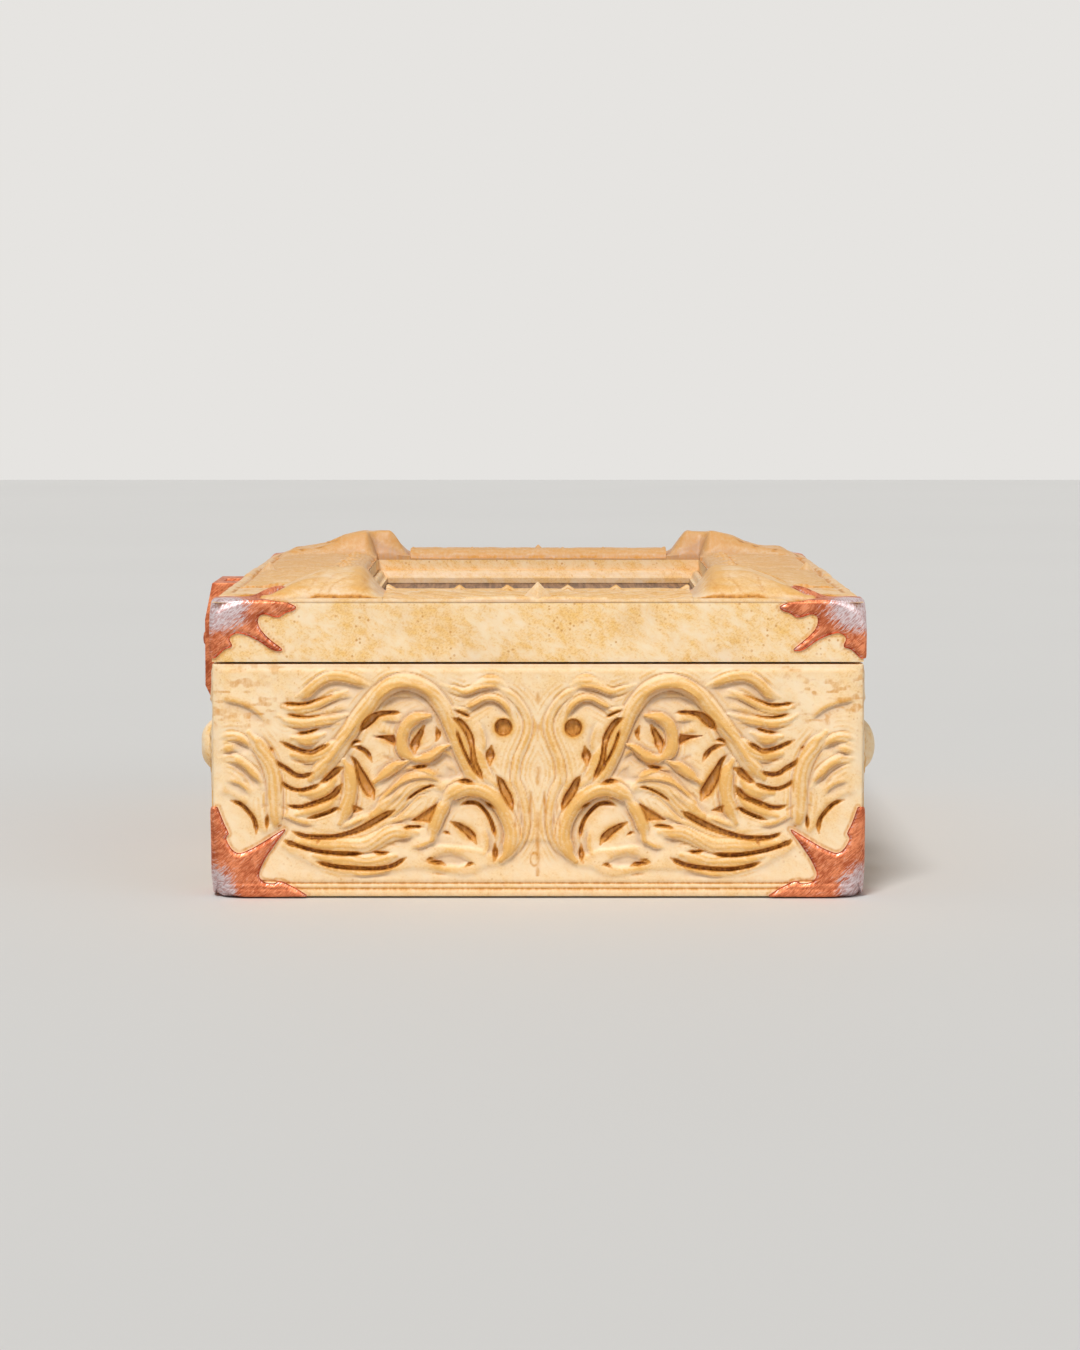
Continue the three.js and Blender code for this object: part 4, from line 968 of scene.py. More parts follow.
class Nodes:
    """Adds shader nodes to a tree, each with its settings and its inputs."""

    def __init__(self, tree):
        self.tree = tree

    def add(self, kind, inputs=(), output=0, **settings):
        """A new node's output."""
        node = self.tree.nodes.new("ShaderNode" + kind)
        for key, value in settings.items():
            setattr(node, key, value)
        self.fill(node, dict(inputs))
        return Value(self, node.outputs[output])

    def fill(self, node, inputs):
        """Links or sets a node's inputs."""
        for key, value in inputs.items():
            socket = node.inputs[key]
            if isinstance(value, Value):
                self.tree.links.new(value.socket, socket)
            elif socket.type == "RGBA" and len(value) == 3:
                socket.default_value = (*value, 1)
            else:
                socket.default_value = value

    def math(self, operation, first, second, clamp=False):
        return self.add("Math", {0: first, 1: second}, operation=operation, use_clamp=clamp)

    def share(self, first, second):
        """A product held between 0 and 1."""
        return self.math("MULTIPLY", first, second, clamp=True)

    def mix(self, share, first, second):
        return self.add("Mix", {0: share, 6: first, 7: second}, 2, data_type="RGBA")

    def mapped(self, vector, scale, turn=(0, 0, 0)):
        """A pattern's place: turned back first, then multiplied by scale."""
        inputs = {"Vector": vector, "Scale": tuple(1 / part for part in scale), "Rotation": turn}
        return self.add("Mapping", inputs, vector_type="TEXTURE")

    def noise(self, vector, scale, detail=3.0, roughness=0.5, distortion=0.0):
        return self.add("TexNoise", {"Vector": vector, "Scale": scale, "Detail": detail,
                                     "Roughness": roughness, "Distortion": distortion})


def finish_group(name, colours, values, build):
    """A shader group for a finish, made the first time it is asked for.

    Its inputs are a vector, colours and values. build(nodes, given) returns its colour, roughness and height.
    """
    found = bpy.data.node_groups.get(name)
    if found:
        return found
    tree = bpy.data.node_groups.new(name, "ShaderNodeTree")
    sockets = [("Vector", "INPUT", "Vector")]
    sockets += [(label, "INPUT", "Color") for label in colours]
    sockets += [(label, "INPUT", "Float") for label in values]
    sockets += [("Color", "OUTPUT", "Color"), ("Roughness", "OUTPUT", "Float"), ("Height", "OUTPUT", "Float")]
    for label, way, kind in sockets:
        tree.interface.new_socket(label, in_out=way, socket_type="NodeSocket" + kind)
    nodes = Nodes(tree)
    given = {socket.name: Value(nodes, socket) for socket in tree.nodes.new("NodeGroupInput").outputs}
    results = build(nodes, given)
    nodes.fill(tree.nodes.new("NodeGroupOutput"), dict(zip(("Color", "Roughness", "Height"), results)))
    return tree


def stained_bone(nodes, given):
    """Old bone: cream washed with amber, pores, fine scratches, and brown stain in the cuts."""
    vector, warmth, amber = given["Vector"], given["Warmth"], given["Amber"]
    # Washes: broad clouds, broken up by streaks along the grain and by fine smudges
    clouds = nodes.noise(vector, 88, 5, 0.62, 0.6)
    streaks = nodes.noise(nodes.mapped(vector, (300, 300, 480), (0, 0.5, 0)), 1.0, 5, 0.7, 0.25)
    smudges = nodes.noise(nodes.mapped(vector, (620, 620, 1100), (0, 0.35, 0)), 1.0, 4, 0.7, 1.0)
    wash = clouds * 0.45 + streaks * 0.55
    washed = nodes.mix(nodes.share(wash.rise(0.34, 0.74), warmth), given["Pale"], given["Warm"])
    crested = nodes.share(given["Crest"], smudges.rise(0.36, 0.6, 0.8, 1.35))
    ridged = nodes.mix(crested, washed, nodes.mix(0.42, given["Warm"], amber))
    patches = smudges.rise(0.5, 0.7) * wash.rise(0.47, 0.62)
    grain = nodes.noise(nodes.mapped(vector, (1900, 1900, 2500), (0, math.radians(-35), 0)), 1.0, 3, 0.6)
    grained = grain.rise(0.47, 0.62) * wash.rise(0.42, 0.6)
    smudged = nodes.mix((patches * 0.26).most(grained * 0.34) * warmth, ridged, amber)
    # Pores: small brown spots, more of them in some patches
    distance = nodes.add("TexVoronoi", {"Vector": vector, "Scale": 1050, "Randomness": 1.0}, "Distance")
    chance = nodes.add("SeparateColor", {0: distance.other("Color")})
    spots = (distance / (chance.other(1) + 0.35)).rise(0.33, 0.13)
    crowded = nodes.noise(vector, 90, 2).rise(0.38, 0.62)
    pores = spots * chance.rise(0.64, 0.72) * (crowded * given["Speckle"])
    # Scratches: thin slanted lines
    slanted = nodes.mapped(vector, (1500, 1500, 170), (math.radians(-28), math.radians(34), 0))
    scratches = nodes.noise(slanted, 1.0, 2).rise(0.64, 0.76) * nodes.noise(vector, 120, 2).rise(0.45, 0.65)
    # Painted shade: the hollows and the low sides of folds are mixed towards the Shade colour
    shade_painted = nodes.mix(nodes.share(given["Hollow"], 0.6), smudged, given["Shade"])
    browned = nodes.mix(0.16, amber, given["Dark"])
    marked = nodes.mix(pores.most(scratches * 0.35) * 0.75, shade_painted, browned)
    uneven = nodes.noise(nodes.mapped(vector, (1, 1, 0.5)), 1100, 4, 0.6).rise(0.25, 0.75, 0.6, 1.25)
    stain = nodes.share(given["Stain"], uneven)
    tinted = nodes.mix(stain.rise(0.05, 0.5), marked, amber)
    colour = nodes.mix(stain.rise(0.35, 1.0), tinted, given["Dark"])
    roughness = nodes.noise(vector, 300, 3).rise(0.3, 0.7, 0.42, 0.58)
    height = smudges * 0.5 + streaks * 0.7 - (pores * 0.15 + scratches * 0.5)
    return colour, roughness, height


def brushed_metal(nodes, given):
    """Brushed metal: streaks along one slant, darker patches, and pale places: worn metal, partly a painted
    highlight.
    """
    vector, worn = given["Vector"], given["Worn"]
    # The lines slant alike on the faces towards x and towards y
    slant = (math.radians(30), math.radians(-42), 0)
    streaks = nodes.noise(nodes.mapped(vector, (520, 520, 3300), slant), 1.0, 5, 0.7, 0.6)
    uneven = streaks * 0.6 + nodes.noise(vector, 330, 4, 0.6, 0.6) * 0.4
    tarnished = nodes.mix(uneven.rise(0.6, 0.4) * given["Tarnish"], given["Bright"], given["Dark"])
    strokes = nodes.noise(nodes.mapped(vector, (900, 900, 4600), slant), 1.0, 3, 0.6)
    greyed = nodes.mix(strokes.rise(0.56, 0.4), worn, nodes.mix(0.5, worn, given["Dark"]))
    # Pale where the metal is worn, and where a highlight is painted at the mounts' corners and rolled edges
    rubbed = (given["Wear"] + (streaks - 0.5) * 2.2).rise(0.3, 0.75)
    height = streaks + nodes.noise(vector, 2600, 2) * 0.4
    return nodes.mix(rubbed, tarnished, greyed), streaks.rise(0.3, 0.7, 0.62, 0.44), height


def new_material(name):
    """A material with its nodes and its shader, and the object's own coordinates."""
    material = bpy.data.materials.new(name)
    material.use_nodes = True
    nodes = Nodes(material.node_tree)
    return material, nodes, material.node_tree.nodes["Principled BSDF"], nodes.add("TexCoord", (), "Object")


def finish_with(nodes, shader, parts, bump_strength, bump_distance, **more):
    """Gives a shader its colour, roughness and height, and more of its inputs."""
    colour, roughness, height = parts
    bump = nodes.add("Bump", {"Height": height, "Strength": bump_strength, "Distance": bump_distance * MM})
    nodes.fill(shader, {"Base Color": colour, "Roughness": roughness, "Normal": bump} | more)


def group_finish(nodes, tree, inputs, attributes):
    """The colour, roughness and height that a group puts out. It reads some inputs from attributes."""
    for label in attributes:
        inputs[label] = nodes.add("Attribute", (), "Fac", attribute_name=label.lower())
    made = nodes.add("Group", inputs, node_tree=tree)
    return [made.other(label) for label in ("Color", "Roughness", "Height")]


def bone_material(name, tints, warmth, speckle):
    material, nodes, shader, place = new_material(name)
    colours = {"Pale": tints.pale, "Warm": tints.warm, "Amber": tints.amber, "Dark": tints.stain,
               "Shade": tints.shade}
    marks = ("Stain", "Hollow", "Crest")
    tree = finish_group("Stained bone", colours, (*marks, "Warmth", "Speckle"), stained_bone)
    inputs = {"Vector": place, **colours, "Warmth": warmth, "Speckle": speckle}
    finish_with(nodes, shader, group_finish(nodes, tree, inputs, marks), 0.35, 0.08, **{
        "Specular IOR Level": 0.4, "Subsurface Weight": 0.08, "Subsurface Radius": (0.9, 0.6, 0.35),
        "Subsurface Scale": 1.2 * MM,
    })


def metal_material(name, tints, bright, dark, worn, tarnish):
    material, nodes, shader, place = new_material(name)
    colours = {"Bright": getattr(tints, bright), "Dark": getattr(tints, dark), "Worn": getattr(tints, worn)}
    tree = finish_group("Brushed metal", colours, ("Wear", "Tarnish"), brushed_metal)
    inputs = {"Vector": place, **colours, "Tarnish": tarnish}
    finish_with(nodes, shader, group_finish(nodes, tree, inputs, ("Wear",)), 0.7, 0.12, Metallic=1.0)


def panel_material(name, tints):
    """Dark stained wood with its grain along the box."""
    material, nodes, shader, place = new_material(name)
    rings = nodes.noise(nodes.mapped(place, (760, 30, 760)), 1.0, 5, 0.6, 0.8)
    pores = nodes.noise(nodes.mapped(place, (3600, 170, 3600)), 1.0, 2).rise(0.62, 0.7)
    grained = nodes.mix(rings.rise(0.32, 0.68), tints.panel_dark, tints.panel)
    colour = nodes.mix(pores * 0.5, grained, tints.panel_dark)
    finish_with(nodes, shader, (colour, rings.rise(0.3, 0.7, 0.5, 0.36), rings - pores), 0.3, 0.1)


def felt_material(name, tints):
    """Wool felt: a soft tangle of short fibres."""
    material, nodes, shader, place = new_material(name)
    fibres = nodes.noise(place, 900, 5, 0.75, 2.0)
    tangle = fibres * 0.7 + nodes.noise(place, 60, 3) * 0.3
    colour = nodes.mix(tangle.rise(0.38, 0.62), tints.felt_dark, tints.felt)
    finish_with(nodes, shader, (colour, fibres.rise(0.3, 0.7, 0.85, 1.0), fibres), 0.6, 0.3, **{
        "Sheen Weight": 0.35, "Sheen Roughness": 0.5,
    })


# How each finish is made, and what its maker is given
FINISHES = {
    "plain_bone": (bone_material, 1.3, 1.0),
    "carved_bone_wall": (bone_material, 0.65, 0.5),
    # The lid's carving is washed warmer than the walls: partly the bone's own tone, partly painted shade on
    # its upward faces, which the key lamp lights more
    "carved_bone_lid": (bone_material, 1.15, 0.6),
    "copper_sheet": (metal_material, "copper", "copper_dark", "copper_worn", 0.78),
    "steel_parts": (metal_material, "steel", "steel_dark", "steel", 0.5),
    "stained_panel": (panel_material,),
    "wool_felt": (felt_material,),
}


def finish(name):
    """One of the box's materials, made the first time it is asked for."""
    if name not in bpy.data.materials:
        make, *settings = FINISHES[name]
        make(name, bpy.context.scene.bone_box_tints, *settings)
    return bpy.data.materials[name]


# Pieces


def carved_relief(x, z):
    """The carving of one half of an end wall, mirrored where x runs past its middle line."""
    relief = Relief(x, z)
    relief.field(FIELD_RISE, FIELD_EDGE)
    for carve, rows in (
        (relief.strand, STRANDS), (relief.fold, FOLDS), (relief.cut, CUTS), (relief.crease, CREASES),
        (relief.hollow, HOLLOWS), (relief.eye, EYES), (relief.ground, GROUNDS),
    ):
        for row in rows:
            carve(*row)
    relief.settle()
    return relief


def carved_field(name, x, z, half, depth):
    """Heights, stains, painted shade in the hollows, and crests of one carved wall's face."""
    seed = ORDER[name]
    # Distance from the middle line of the carving, of which a long wall has two
    beside = np.abs(x) - (HALF_LENGTH - HALF_WIDTH) if half > HALF_WIDTH else x
    # The half that the carving is drawn on stays as drawn, and the others wander from it
    wander = 0.45 * (smoothstep(x / 3) if name == "right_end" else 1.0)
    along = np.abs(beside) + wander * ripple(x, z, 9, 20 + seed)
    relief = carved_relief(-along, z + wander * ripple(x, z, 9, 40 + seed))
    heights, stains, crests, painted_shades = relief.grids()
    keep = kept_places(name, x, z, half)
    heights = depth * heights * keep
    heights += 0.05 * ripple(x, z, 6, 60 + seed) + 0.025 * ripple(x, z, 1.7, 80 + seed)
    # Painted shade: darker where the face lies below what is round it, and on the low side of the folds
    hollows = sunken(heights, 5, 0.45) + 0.5 * sunken(heights, 14, 0.8) + painted_shades * keep
    if name == "front":
        low, high = HASP
        near_hasp = (np.abs(x) < high[1] + 1.5) & (z > low[2] - 1.5)
        heights = np.where(near_hasp, np.minimum(heights, 0.2), heights)
    heights -= sum(0.34 * bell(z, line_height, FOOT_LINE_WIDTH) for line_height in FOOT_LINES)
    (mark_x, mark_z), mark_width, mark_height = RING_MARK
    from_ring = np.abs(np.hypot((beside - mark_x) / mark_width, (z - mark_z) / mark_height) - 1)
    trail = bell(beside, 0, 0.7) * smoothstep(0.5 + 1.5 * ripple(x, z, 3.6, 90 + seed)) * (z > 5)
    patches = smoothstep(0.8 + 1.2 * ripple(x, 1.6 * z, 6.5, 100 + seed))
    specks = smoothstep(0.4 + 1.6 * ripple(x, 2.2 * z, 1.6, 120 + seed))
    upper_end = smoothstep((22 - (half - np.abs(x))) / 6) * smoothstep((z - 37) / 5)
    stains = np.maximum.reduce([
        stains * smoothstep(keep * 2),
        *(0.62 * bell(z, line_height, FOOT_LINE_WIDTH * 0.8) for line_height in FOOT_LINES),
        0.17 * (1 - smoothstep((z - 3.6) / 2.2)),
        mount_outline_band(outside_mount(half - np.abs(x), z, BASE_MOUNT_FACE)),
        0.42 * bell(from_ring, 0, 0.3),
        0.34 * trail,
        0.3 * patches * specks * upper_end,
    ])
    crests = np.maximum(crests * keep, sunken(-heights, 5, 0.45))
    return heights, stains, np.clip(hollows, 0, 1), crests


def mount_outline_band(off):
    """An ochre band along a mount's outline."""
    return 0.34 * bell(off, 0.5, 0.45)


def kept_places(name, x, z, half):
    """1 where a wall is carved, and 0 at its edges, under the mounts and round what is fixed to it."""
    ends = half - np.abs(x)
    keep = smoothstep((ends - 0.5) / 3) * smoothstep((BASE_TOP - z - 0.3) / 1.8) * smoothstep((z - 4.3) / 0.9)
    keep = keep * smoothstep((outside_mount(ends, z, BASE_MOUNT_FACE) - 0.4) / 1.8)
    if name in ("front", "back"):
        off = np.hypot(np.abs(x) - BOSS_ALONG, z - BOSS_HEIGHT)
        keep = keep * smoothstep(off - BOSS_RADIUS - 0.3)
    if name == "back":
        low, high = HINGE_LEAF
        centre, reach = -(low[1] + high[1]) / 2, (high[1] - low[1]) / 2
        beside = np.abs(np.abs(x) - centre) - reach
        keep = keep * smoothstep((np.maximum(beside, low[2] - z) - 0.4) / 1.2)
    return keep


def carved_wall(side, depth, spacing):
    name, span, half, turn = side
    tongue = HALF_WIDTH + FLOOR_EDGE
    rebate = FLOOR_TOP + ROOM
    mesh, points, x, z = faced_bar(f"carved_{name}_wall", half, 0, BASE_TOP, spacing, (
        (tongue, half - tongue, 0, BASE_TOP),
        (tongue, half - tongue - SEAT, rebate, BASE_TOP),
        (WALL_THICKNESS, half - WALL_THICKNESS, rebate, BASE_TOP),
    ))
    heights, stains, hollows, crests = carved_field(name, x, z, half, depth)
    ends = half - np.abs(points[:, 0])
    lift = WEB_ROOM * np.clip(1 - points[:, 2] / WEB_BLEND, 0, 1) * (1 - smoothstep(ends - WEB_REACH))
    raised = np.where(points[:, 1] < tongue + 0.5, points[:, 2] + lift, points[:, 2])
    a, b, c = ease_corner(ends, points[:, 1], raised, BASE_EDGE, FOOT_STRETCH)
    b, drop = ease((b, BASE_TOP - c), WALL_RIM)
    points = np.column_stack([np.sign(points[:, 0]) * (half - a), b, BASE_TOP - drop])
    raise_face(mesh, points, heights, stain=stains, hollow=hollows, crest=crests)
    in_place(mesh, side_matrix(span, turn))
    add_piece(mesh, "base", "carved_bone", "carved_bone_wall", f"base_{name}_wall")


def lid_rail(side, spacing):
    name, span, half, turn = side
    seed = 100 + ORDER[name]
    foot = LID_TOP - RAIL_THICKNESS
    inner = half - RAIL_WIDTH
    groove = (inner - 2 * ROOM, PANEL_FOOT - ROOM, PANEL_TOP + ROOM)
    mesh, points, x, z = faced_bar(f"{name}_rail", half, LID_BOTTOM, LID_TOP, spacing, (
        (WALL_THICKNESS, half - WALL_THICKNESS, LID_BOTTOM, LID_TOP),
        (WALL_THICKNESS, half - WALL_THICKNESS - SEAT, foot, LID_TOP),
        (RAIL_WIDTH, inner, foot, LID_TOP),
        (RAIL_WIDTH, *groove),
        (PANEL_EDGE - ROOM, *groove),
    ))
    heights = 0.09 * ripple(x, z, 11, seed) + 0.035 * ripple(x, z, 2.4, seed + 10)
    ends = half - np.abs(points[:, 0])
    a, b, c = ease_corner(ends, points[:, 1], LID_TOP - points[:, 2], LID_EDGE)
    b, rise = ease((b, LID_TOP - LID_BOTTOM - c), RAIL_RIM)
    points = np.column_stack([np.sign(points[:, 0]) * (half - a), b, LID_BOTTOM + rise])
    stains = mount_outline_band(outside_mount(half - np.abs(x), LID_TOP - z, LID_MOUNT_FACE))
    # The dips of the face's ripples get painted shade
    raise_face(mesh, points, heights, stain=stains, hollow=np.clip(-heights / 0.16, 0, 1) * 0.5)
    in_place(mesh, side_matrix(span, turn))
    add_piece(mesh, "lid", "bone", "plain_bone", f"lid_{name}_rail")


def border_piece(side, spacing):
    """The raised border between two corner blocks: leaves that sweep from its lip up to an inner roll."""
    name, span, half, turn = side
    seed = 200 + ORDER[name]
    (way, place), share, growth = BORDER_PLACE[name], BORDER_SHARE[name], STUD_GROWTH[name]
    reach = half - BLOCK_REACH - SEAT

    def carve(x, inward):
        inset, rise = np.array(BORDER_RISE).T
        heights = np.interp(inward, inset, np.where(inset > 3, 0.5 + (rise - 0.5) * share, rise))
        across = np.abs(x) + 0.5 * ripple(x, inward, 8, seed + 2)
        relief = Relief(across, inward + 0.5 * ripple(x, inward, 7, seed + 3))
        for start in np.arange(-2 * LEAF_STEP, reach, LEAF_STEP):
            relief.strand(1.9, 0.42 * share, [(start + along, in_by) for along, in_by in LEAF])
        relief.strand(2.7, 0.36 * share, ((-5, 26.8), (reach / 2, 26.6), (reach + 5, 26.8)))
        relief.crease(0.4, ((-3, 2.9), (reach / 2, 3.1), (reach + 3, 2.9)), 0.15, 0.4)
        relief.settle()
        carved, stains, crests, _ = relief.grids()
        plaque = 1 - smoothstep(across + 0.5 * inward - PLAQUE_HALF)
        lip = (1 - smoothstep(inward - 2.4)) * smoothstep((inward - 0.2) / 0.5)
        heights += carved + 0.5 * plaque * lip
        for centre in PEAKS:
            off = np.abs(across - centre) / (1.6 * growth) + np.abs(inward - PEAK_INSET) / 3.0
            heights += growth * np.maximum(0, 1 - off)
        heights += 0.1 * ripple(x, inward, 7, seed) + 0.04 * ripple(x, inward, 1.8, seed + 5)
        from_stud = np.abs(x) + np.abs(inward - STUD_INSET) - 3.9 * growth
        clear = smoothstep(from_stud / 0.7)
        heights = STUD_BED + (heights - STUD_BED) * clear
        # The third grid is painted shade where the top lies below what is round it
        return LID_TOP + heights, stains * clear, sunken(heights, 4, 0.4), crests * clear

    mesh = topped_slab(
        f"{name}_border", (-reach, reach), (CARVING_INSET, RAIL_WIDTH - SEAT), LID_TOP + SEAT, spacing, carve,
        # How far towards the far end a point is, for the stain and the painted shade that grow there
        far_share=lambda x, inward: place + way * x / (2 * HALF_LENGTH),
    )
    in_place(mesh, side_matrix(span, turn))
    add_piece(mesh, "lid", "carved_bone", "carved_bone_lid", f"lid_{name}_frieze")


def border_stud(name):
    """A pyramid stud, scaled about the middle of its foot, with the stain and the painted shade of the border
    round it.
    """
    def grow(bm):
        spots = np.array([vert.co for vert in bm.verts])
        middle = Vector((*((spots.min(axis=0) + spots.max(axis=0)) / 2)[:2], spots[:, 2].min()))
        size = Vector((STUD_GROWTH[name],) * 3)
        bmesh.ops.scale(bm, vec=size, space=Matrix.Translation(-middle), verts=bm.verts)

    look = ("bone", "carved_bone_lid")
    piece = finished_copy(f"lid_{name}_stud", f"{name}_stud", "lid", look, 0.22, shape=grow)
    for label, amount in zip(("stain", "hollow"), lid_stain_and_shade(BORDER_PLACE[name][1])):
        set_attribute(piece.data, label, np.full(len(piece.data.vertices), amount))


def spike_lift(p, q):
    """How far the slanted spike of a lid mount climbs the corner block."""
    return SPIKE_CLIMB * smoothstep((np.minimum(p, q) - SPIKE_FOOT) / SPIKE_FOOT)


def block_rise(p, q, seed, far):
    """Height of a corner block above the rails, at distances p and q in from the two sides."""
    across = np.interp(np.minimum(p, RAIL_WIDTH), *np.array(BLOCK_ACROSS[far]).T)
    along = np.interp(np.minimum(q, RAIL_WIDTH), *np.array(BLOCK_ALONG).T)
    soft = 0.45
    both = -soft * np.log(np.exp(-across / soft) + np.exp(-along / soft))
    to_window = np.hypot(np.maximum(RAIL_WIDTH - p, 0), np.maximum(RAIL_WIDTH - q, 0))
    fall = smoothstep((to_window + 0.4) / 3.6) * smoothstep((BLOCK_REACH + 0.3 - np.maximum(p, q)) / 6.6)
    low = np.minimum(both, 1.1)
    risen = low + (both - low) * fall
    lumps = 0.35 * ripple(p, q, 7.0, seed) + 0.15 * ripple(p, q, 2.6, seed + 1)
    return np.maximum(risen + lumps * smoothstep((risen - 1.2) / 2), 0.3)


def corner_block(corner, spacing):
    """A corner block: a smooth mound with slanted strokes, a lip, drilled holes and dents."""
    name, x, y = corner
    seed = 300 + ORDER[name]
    far = y > 0

    def carve(p, q):
        bare = outside_mount(p, q, LID_MOUNT_BARE)
        spike = outside_mount(p, q, LID_MOUNT_TOP)
        rise = block_rise(p, q, seed, far) * smoothstep((bare - 0.1) / 2.4)
        relief = Relief(p, q)
        twice = [(0.45, BLOCK_LIP, 0.25, 0.6)]
        for k in range(6):
            bend = 1.6 * math.sin(2.3 * k + seed)
            start = 17.0 + 3.7 * k + bend
            twice.append((0.3, ((start, 3.8), (start + 1.4, 8), (start - bend + 3.4, 13 + bend)), 0.07, 0.14))
        for width, points, depth, stain in twice:
            relief.crease(width, points, depth, stain)
            relief.crease(width, [(b, a) for a, b in points], depth, stain)
        for dent in BLOCK_DENTS:
            relief.crease(*dent)
        for centre in BLOCK_HOLES:
            relief.eye(0.8, 1.1, centre)
        carved, stains, *_ = relief.grids()
        heights = rise + carved * smoothstep((rise - 0.4) / 0.8)
        heights = np.minimum(heights, spike_lift(p, q) - 0.15 + 2.5 * np.maximum(spike - 0.1, 0))
        heights = np.where(bare < 0.1, SEAT, np.maximum(heights, SEAT))
        stains = np.maximum(stains, 0.4 * bell(spike, 0.5, 0.5))
        # The third grid is painted shade where the top lies below what is round it
        return LID_TOP + heights, stains, sunken(heights, 5, 0.5), sunken(-heights, 8, 0.4)

    # How far towards the far end a point is, for the stain and the painted shade that grow there
    def far_share(p, q):
        share = q / (2 * HALF_LENGTH)
        return 1 - share if far else share

    reach = (CARVING_INSET, BLOCK_REACH)
    mesh = topped_slab(
        f"corner_block_{name}", reach, reach, LID_TOP + SEAT / 2, spacing, carve,
        lambda p, q: min(p, q) < RAIL_WIDTH, far_share,
    )
    in_place(mesh, corner_matrix(x, y, 0, 1))
    add_piece(mesh, "lid", "carved_bone", "carved_bone_lid", f"lid_block_{name}")


def side_boss(corner, rise):
    """A low dome turned in bone, with a bead round its foot."""
    name, x, y = corner
    dome = flow([(radius, rise * share) for radius, share in BOSS_DOME])
    profile = [(0, rise)] + [(row[0], row[1]) for row in dome[1:]]
    profile += [(6.3, rise * 0.26), (6.55, rise * 0.2), (BOSS_RADIUS - 0.1, rise * 0.16), (BOSS_RADIUS, 0.4),
                (BOSS_RADIUS, SEAT), (0, SEAT)]
    mesh = to_mesh(turned_piece(profile, 64), f"boss_{name}")
    points = points_of(mesh)
    points[:, 0] += 0.12 * ripple(points[:, 1], points[:, 2], 3.1, 400 + x + 3 * y) * (points[:, 0] > 1)
    set_points(mesh, points)
    turn = Matrix.Rotation(0 if x > 0 else math.pi, 4, "Z")
    in_place(mesh, Matrix.Translation((x * HALF_WIDTH, y * BOSS_ALONG, BOSS_HEIGHT)) @ turn)
    add_piece(mesh, "base", "bone", "plain_bone", f"side_boss_{name}", 60)


def mount_plate(bm, outline, place):
    """One plate of a mount: its outline at the outer face, pushed in by the plate's thickness."""
    face = bm.faces.new([bm.verts.new(place(u, v, -MOUNT_OUT)) for u, v in outline])
    made = bmesh.ops.extrude_face_region(bm, geom=[face])["geom"]
    shift = Vector(place(0, 0, MOUNT_THICKNESS)) - Vector(place(0, 0, 0))
    bmesh.ops.translate(bm, vec=shift, verts=[item for item in made if isinstance(item, bmesh.types.BMVert)])


def mount_shell(start, face_line, flat_line, flat_rise, voxel):
    """The three plates of a corner mount joined into one shell, in the corner's own axes.

    start holds the face's points along the box's edge, before its outline. flat_rise is how much higher
    than the others the flat plate starts.
    """
    corner = -MOUNT_OUT
    faced = [*start, *face_line, (corner, face_line[-1][1])]
    flat = [(corner, corner), (flat_line[0][0], corner), *flat_line, (corner, flat_line[-1][1])]
    bm = bmesh.new()
    mount_plate(bm, faced, lambda u, v, w: (u, w, v))
    mount_plate(bm, faced, lambda u, v, w: (w, u, v))
    mount_plate(bm, flat, lambda u, v, w: (u, v, w + flat_rise))
    bmesh.ops.recalc_face_normals(bm, faces=bm.faces)
    return remeshed(to_mesh(bm, "mount"), voxel)


def rolled_edges(points, line, across, up, out, roll):
    """How far each point of a plate's outer face drops near the plate's outline, and how pale its edge turns.

    It drops towards the bone. The pale edge is partly rubbed bright and partly a painted highlight of the lit
    rolled edge.
    """
    on_plate = (points[:, across] > -0.2) & (points[:, out] < -0.35)
    off = outline_distance(points[:, across], np.maximum(points[:, up], 0), line)
    drop, edge_rub_highlight = 0.42 * (1 - smoothstep(off / roll)), 0.42 * bell(off, 0.35, 0.3)
    return np.where(on_plate, drop, 0), np.where(on_plate, edge_rub_highlight, 0)


def mount_wear_highlight(points, along, up):
    """How pale the metal is near the box's corner, reaching along the edges and up the corner: worn, and
    partly a painted highlight.
    """
    off = np.sqrt(np.sum((np.maximum(points, -0.5) / np.array([along, along, up])) ** 2, axis=1))
    edge = np.exp(-np.maximum(np.minimum(points[:, 0], points[:, 1]) + MOUNT_OUT, 0) / 0.6)
    return np.clip(1 - smoothstep((off - 0.2) / 0.9) + 0.15 * edge, 0, 1)


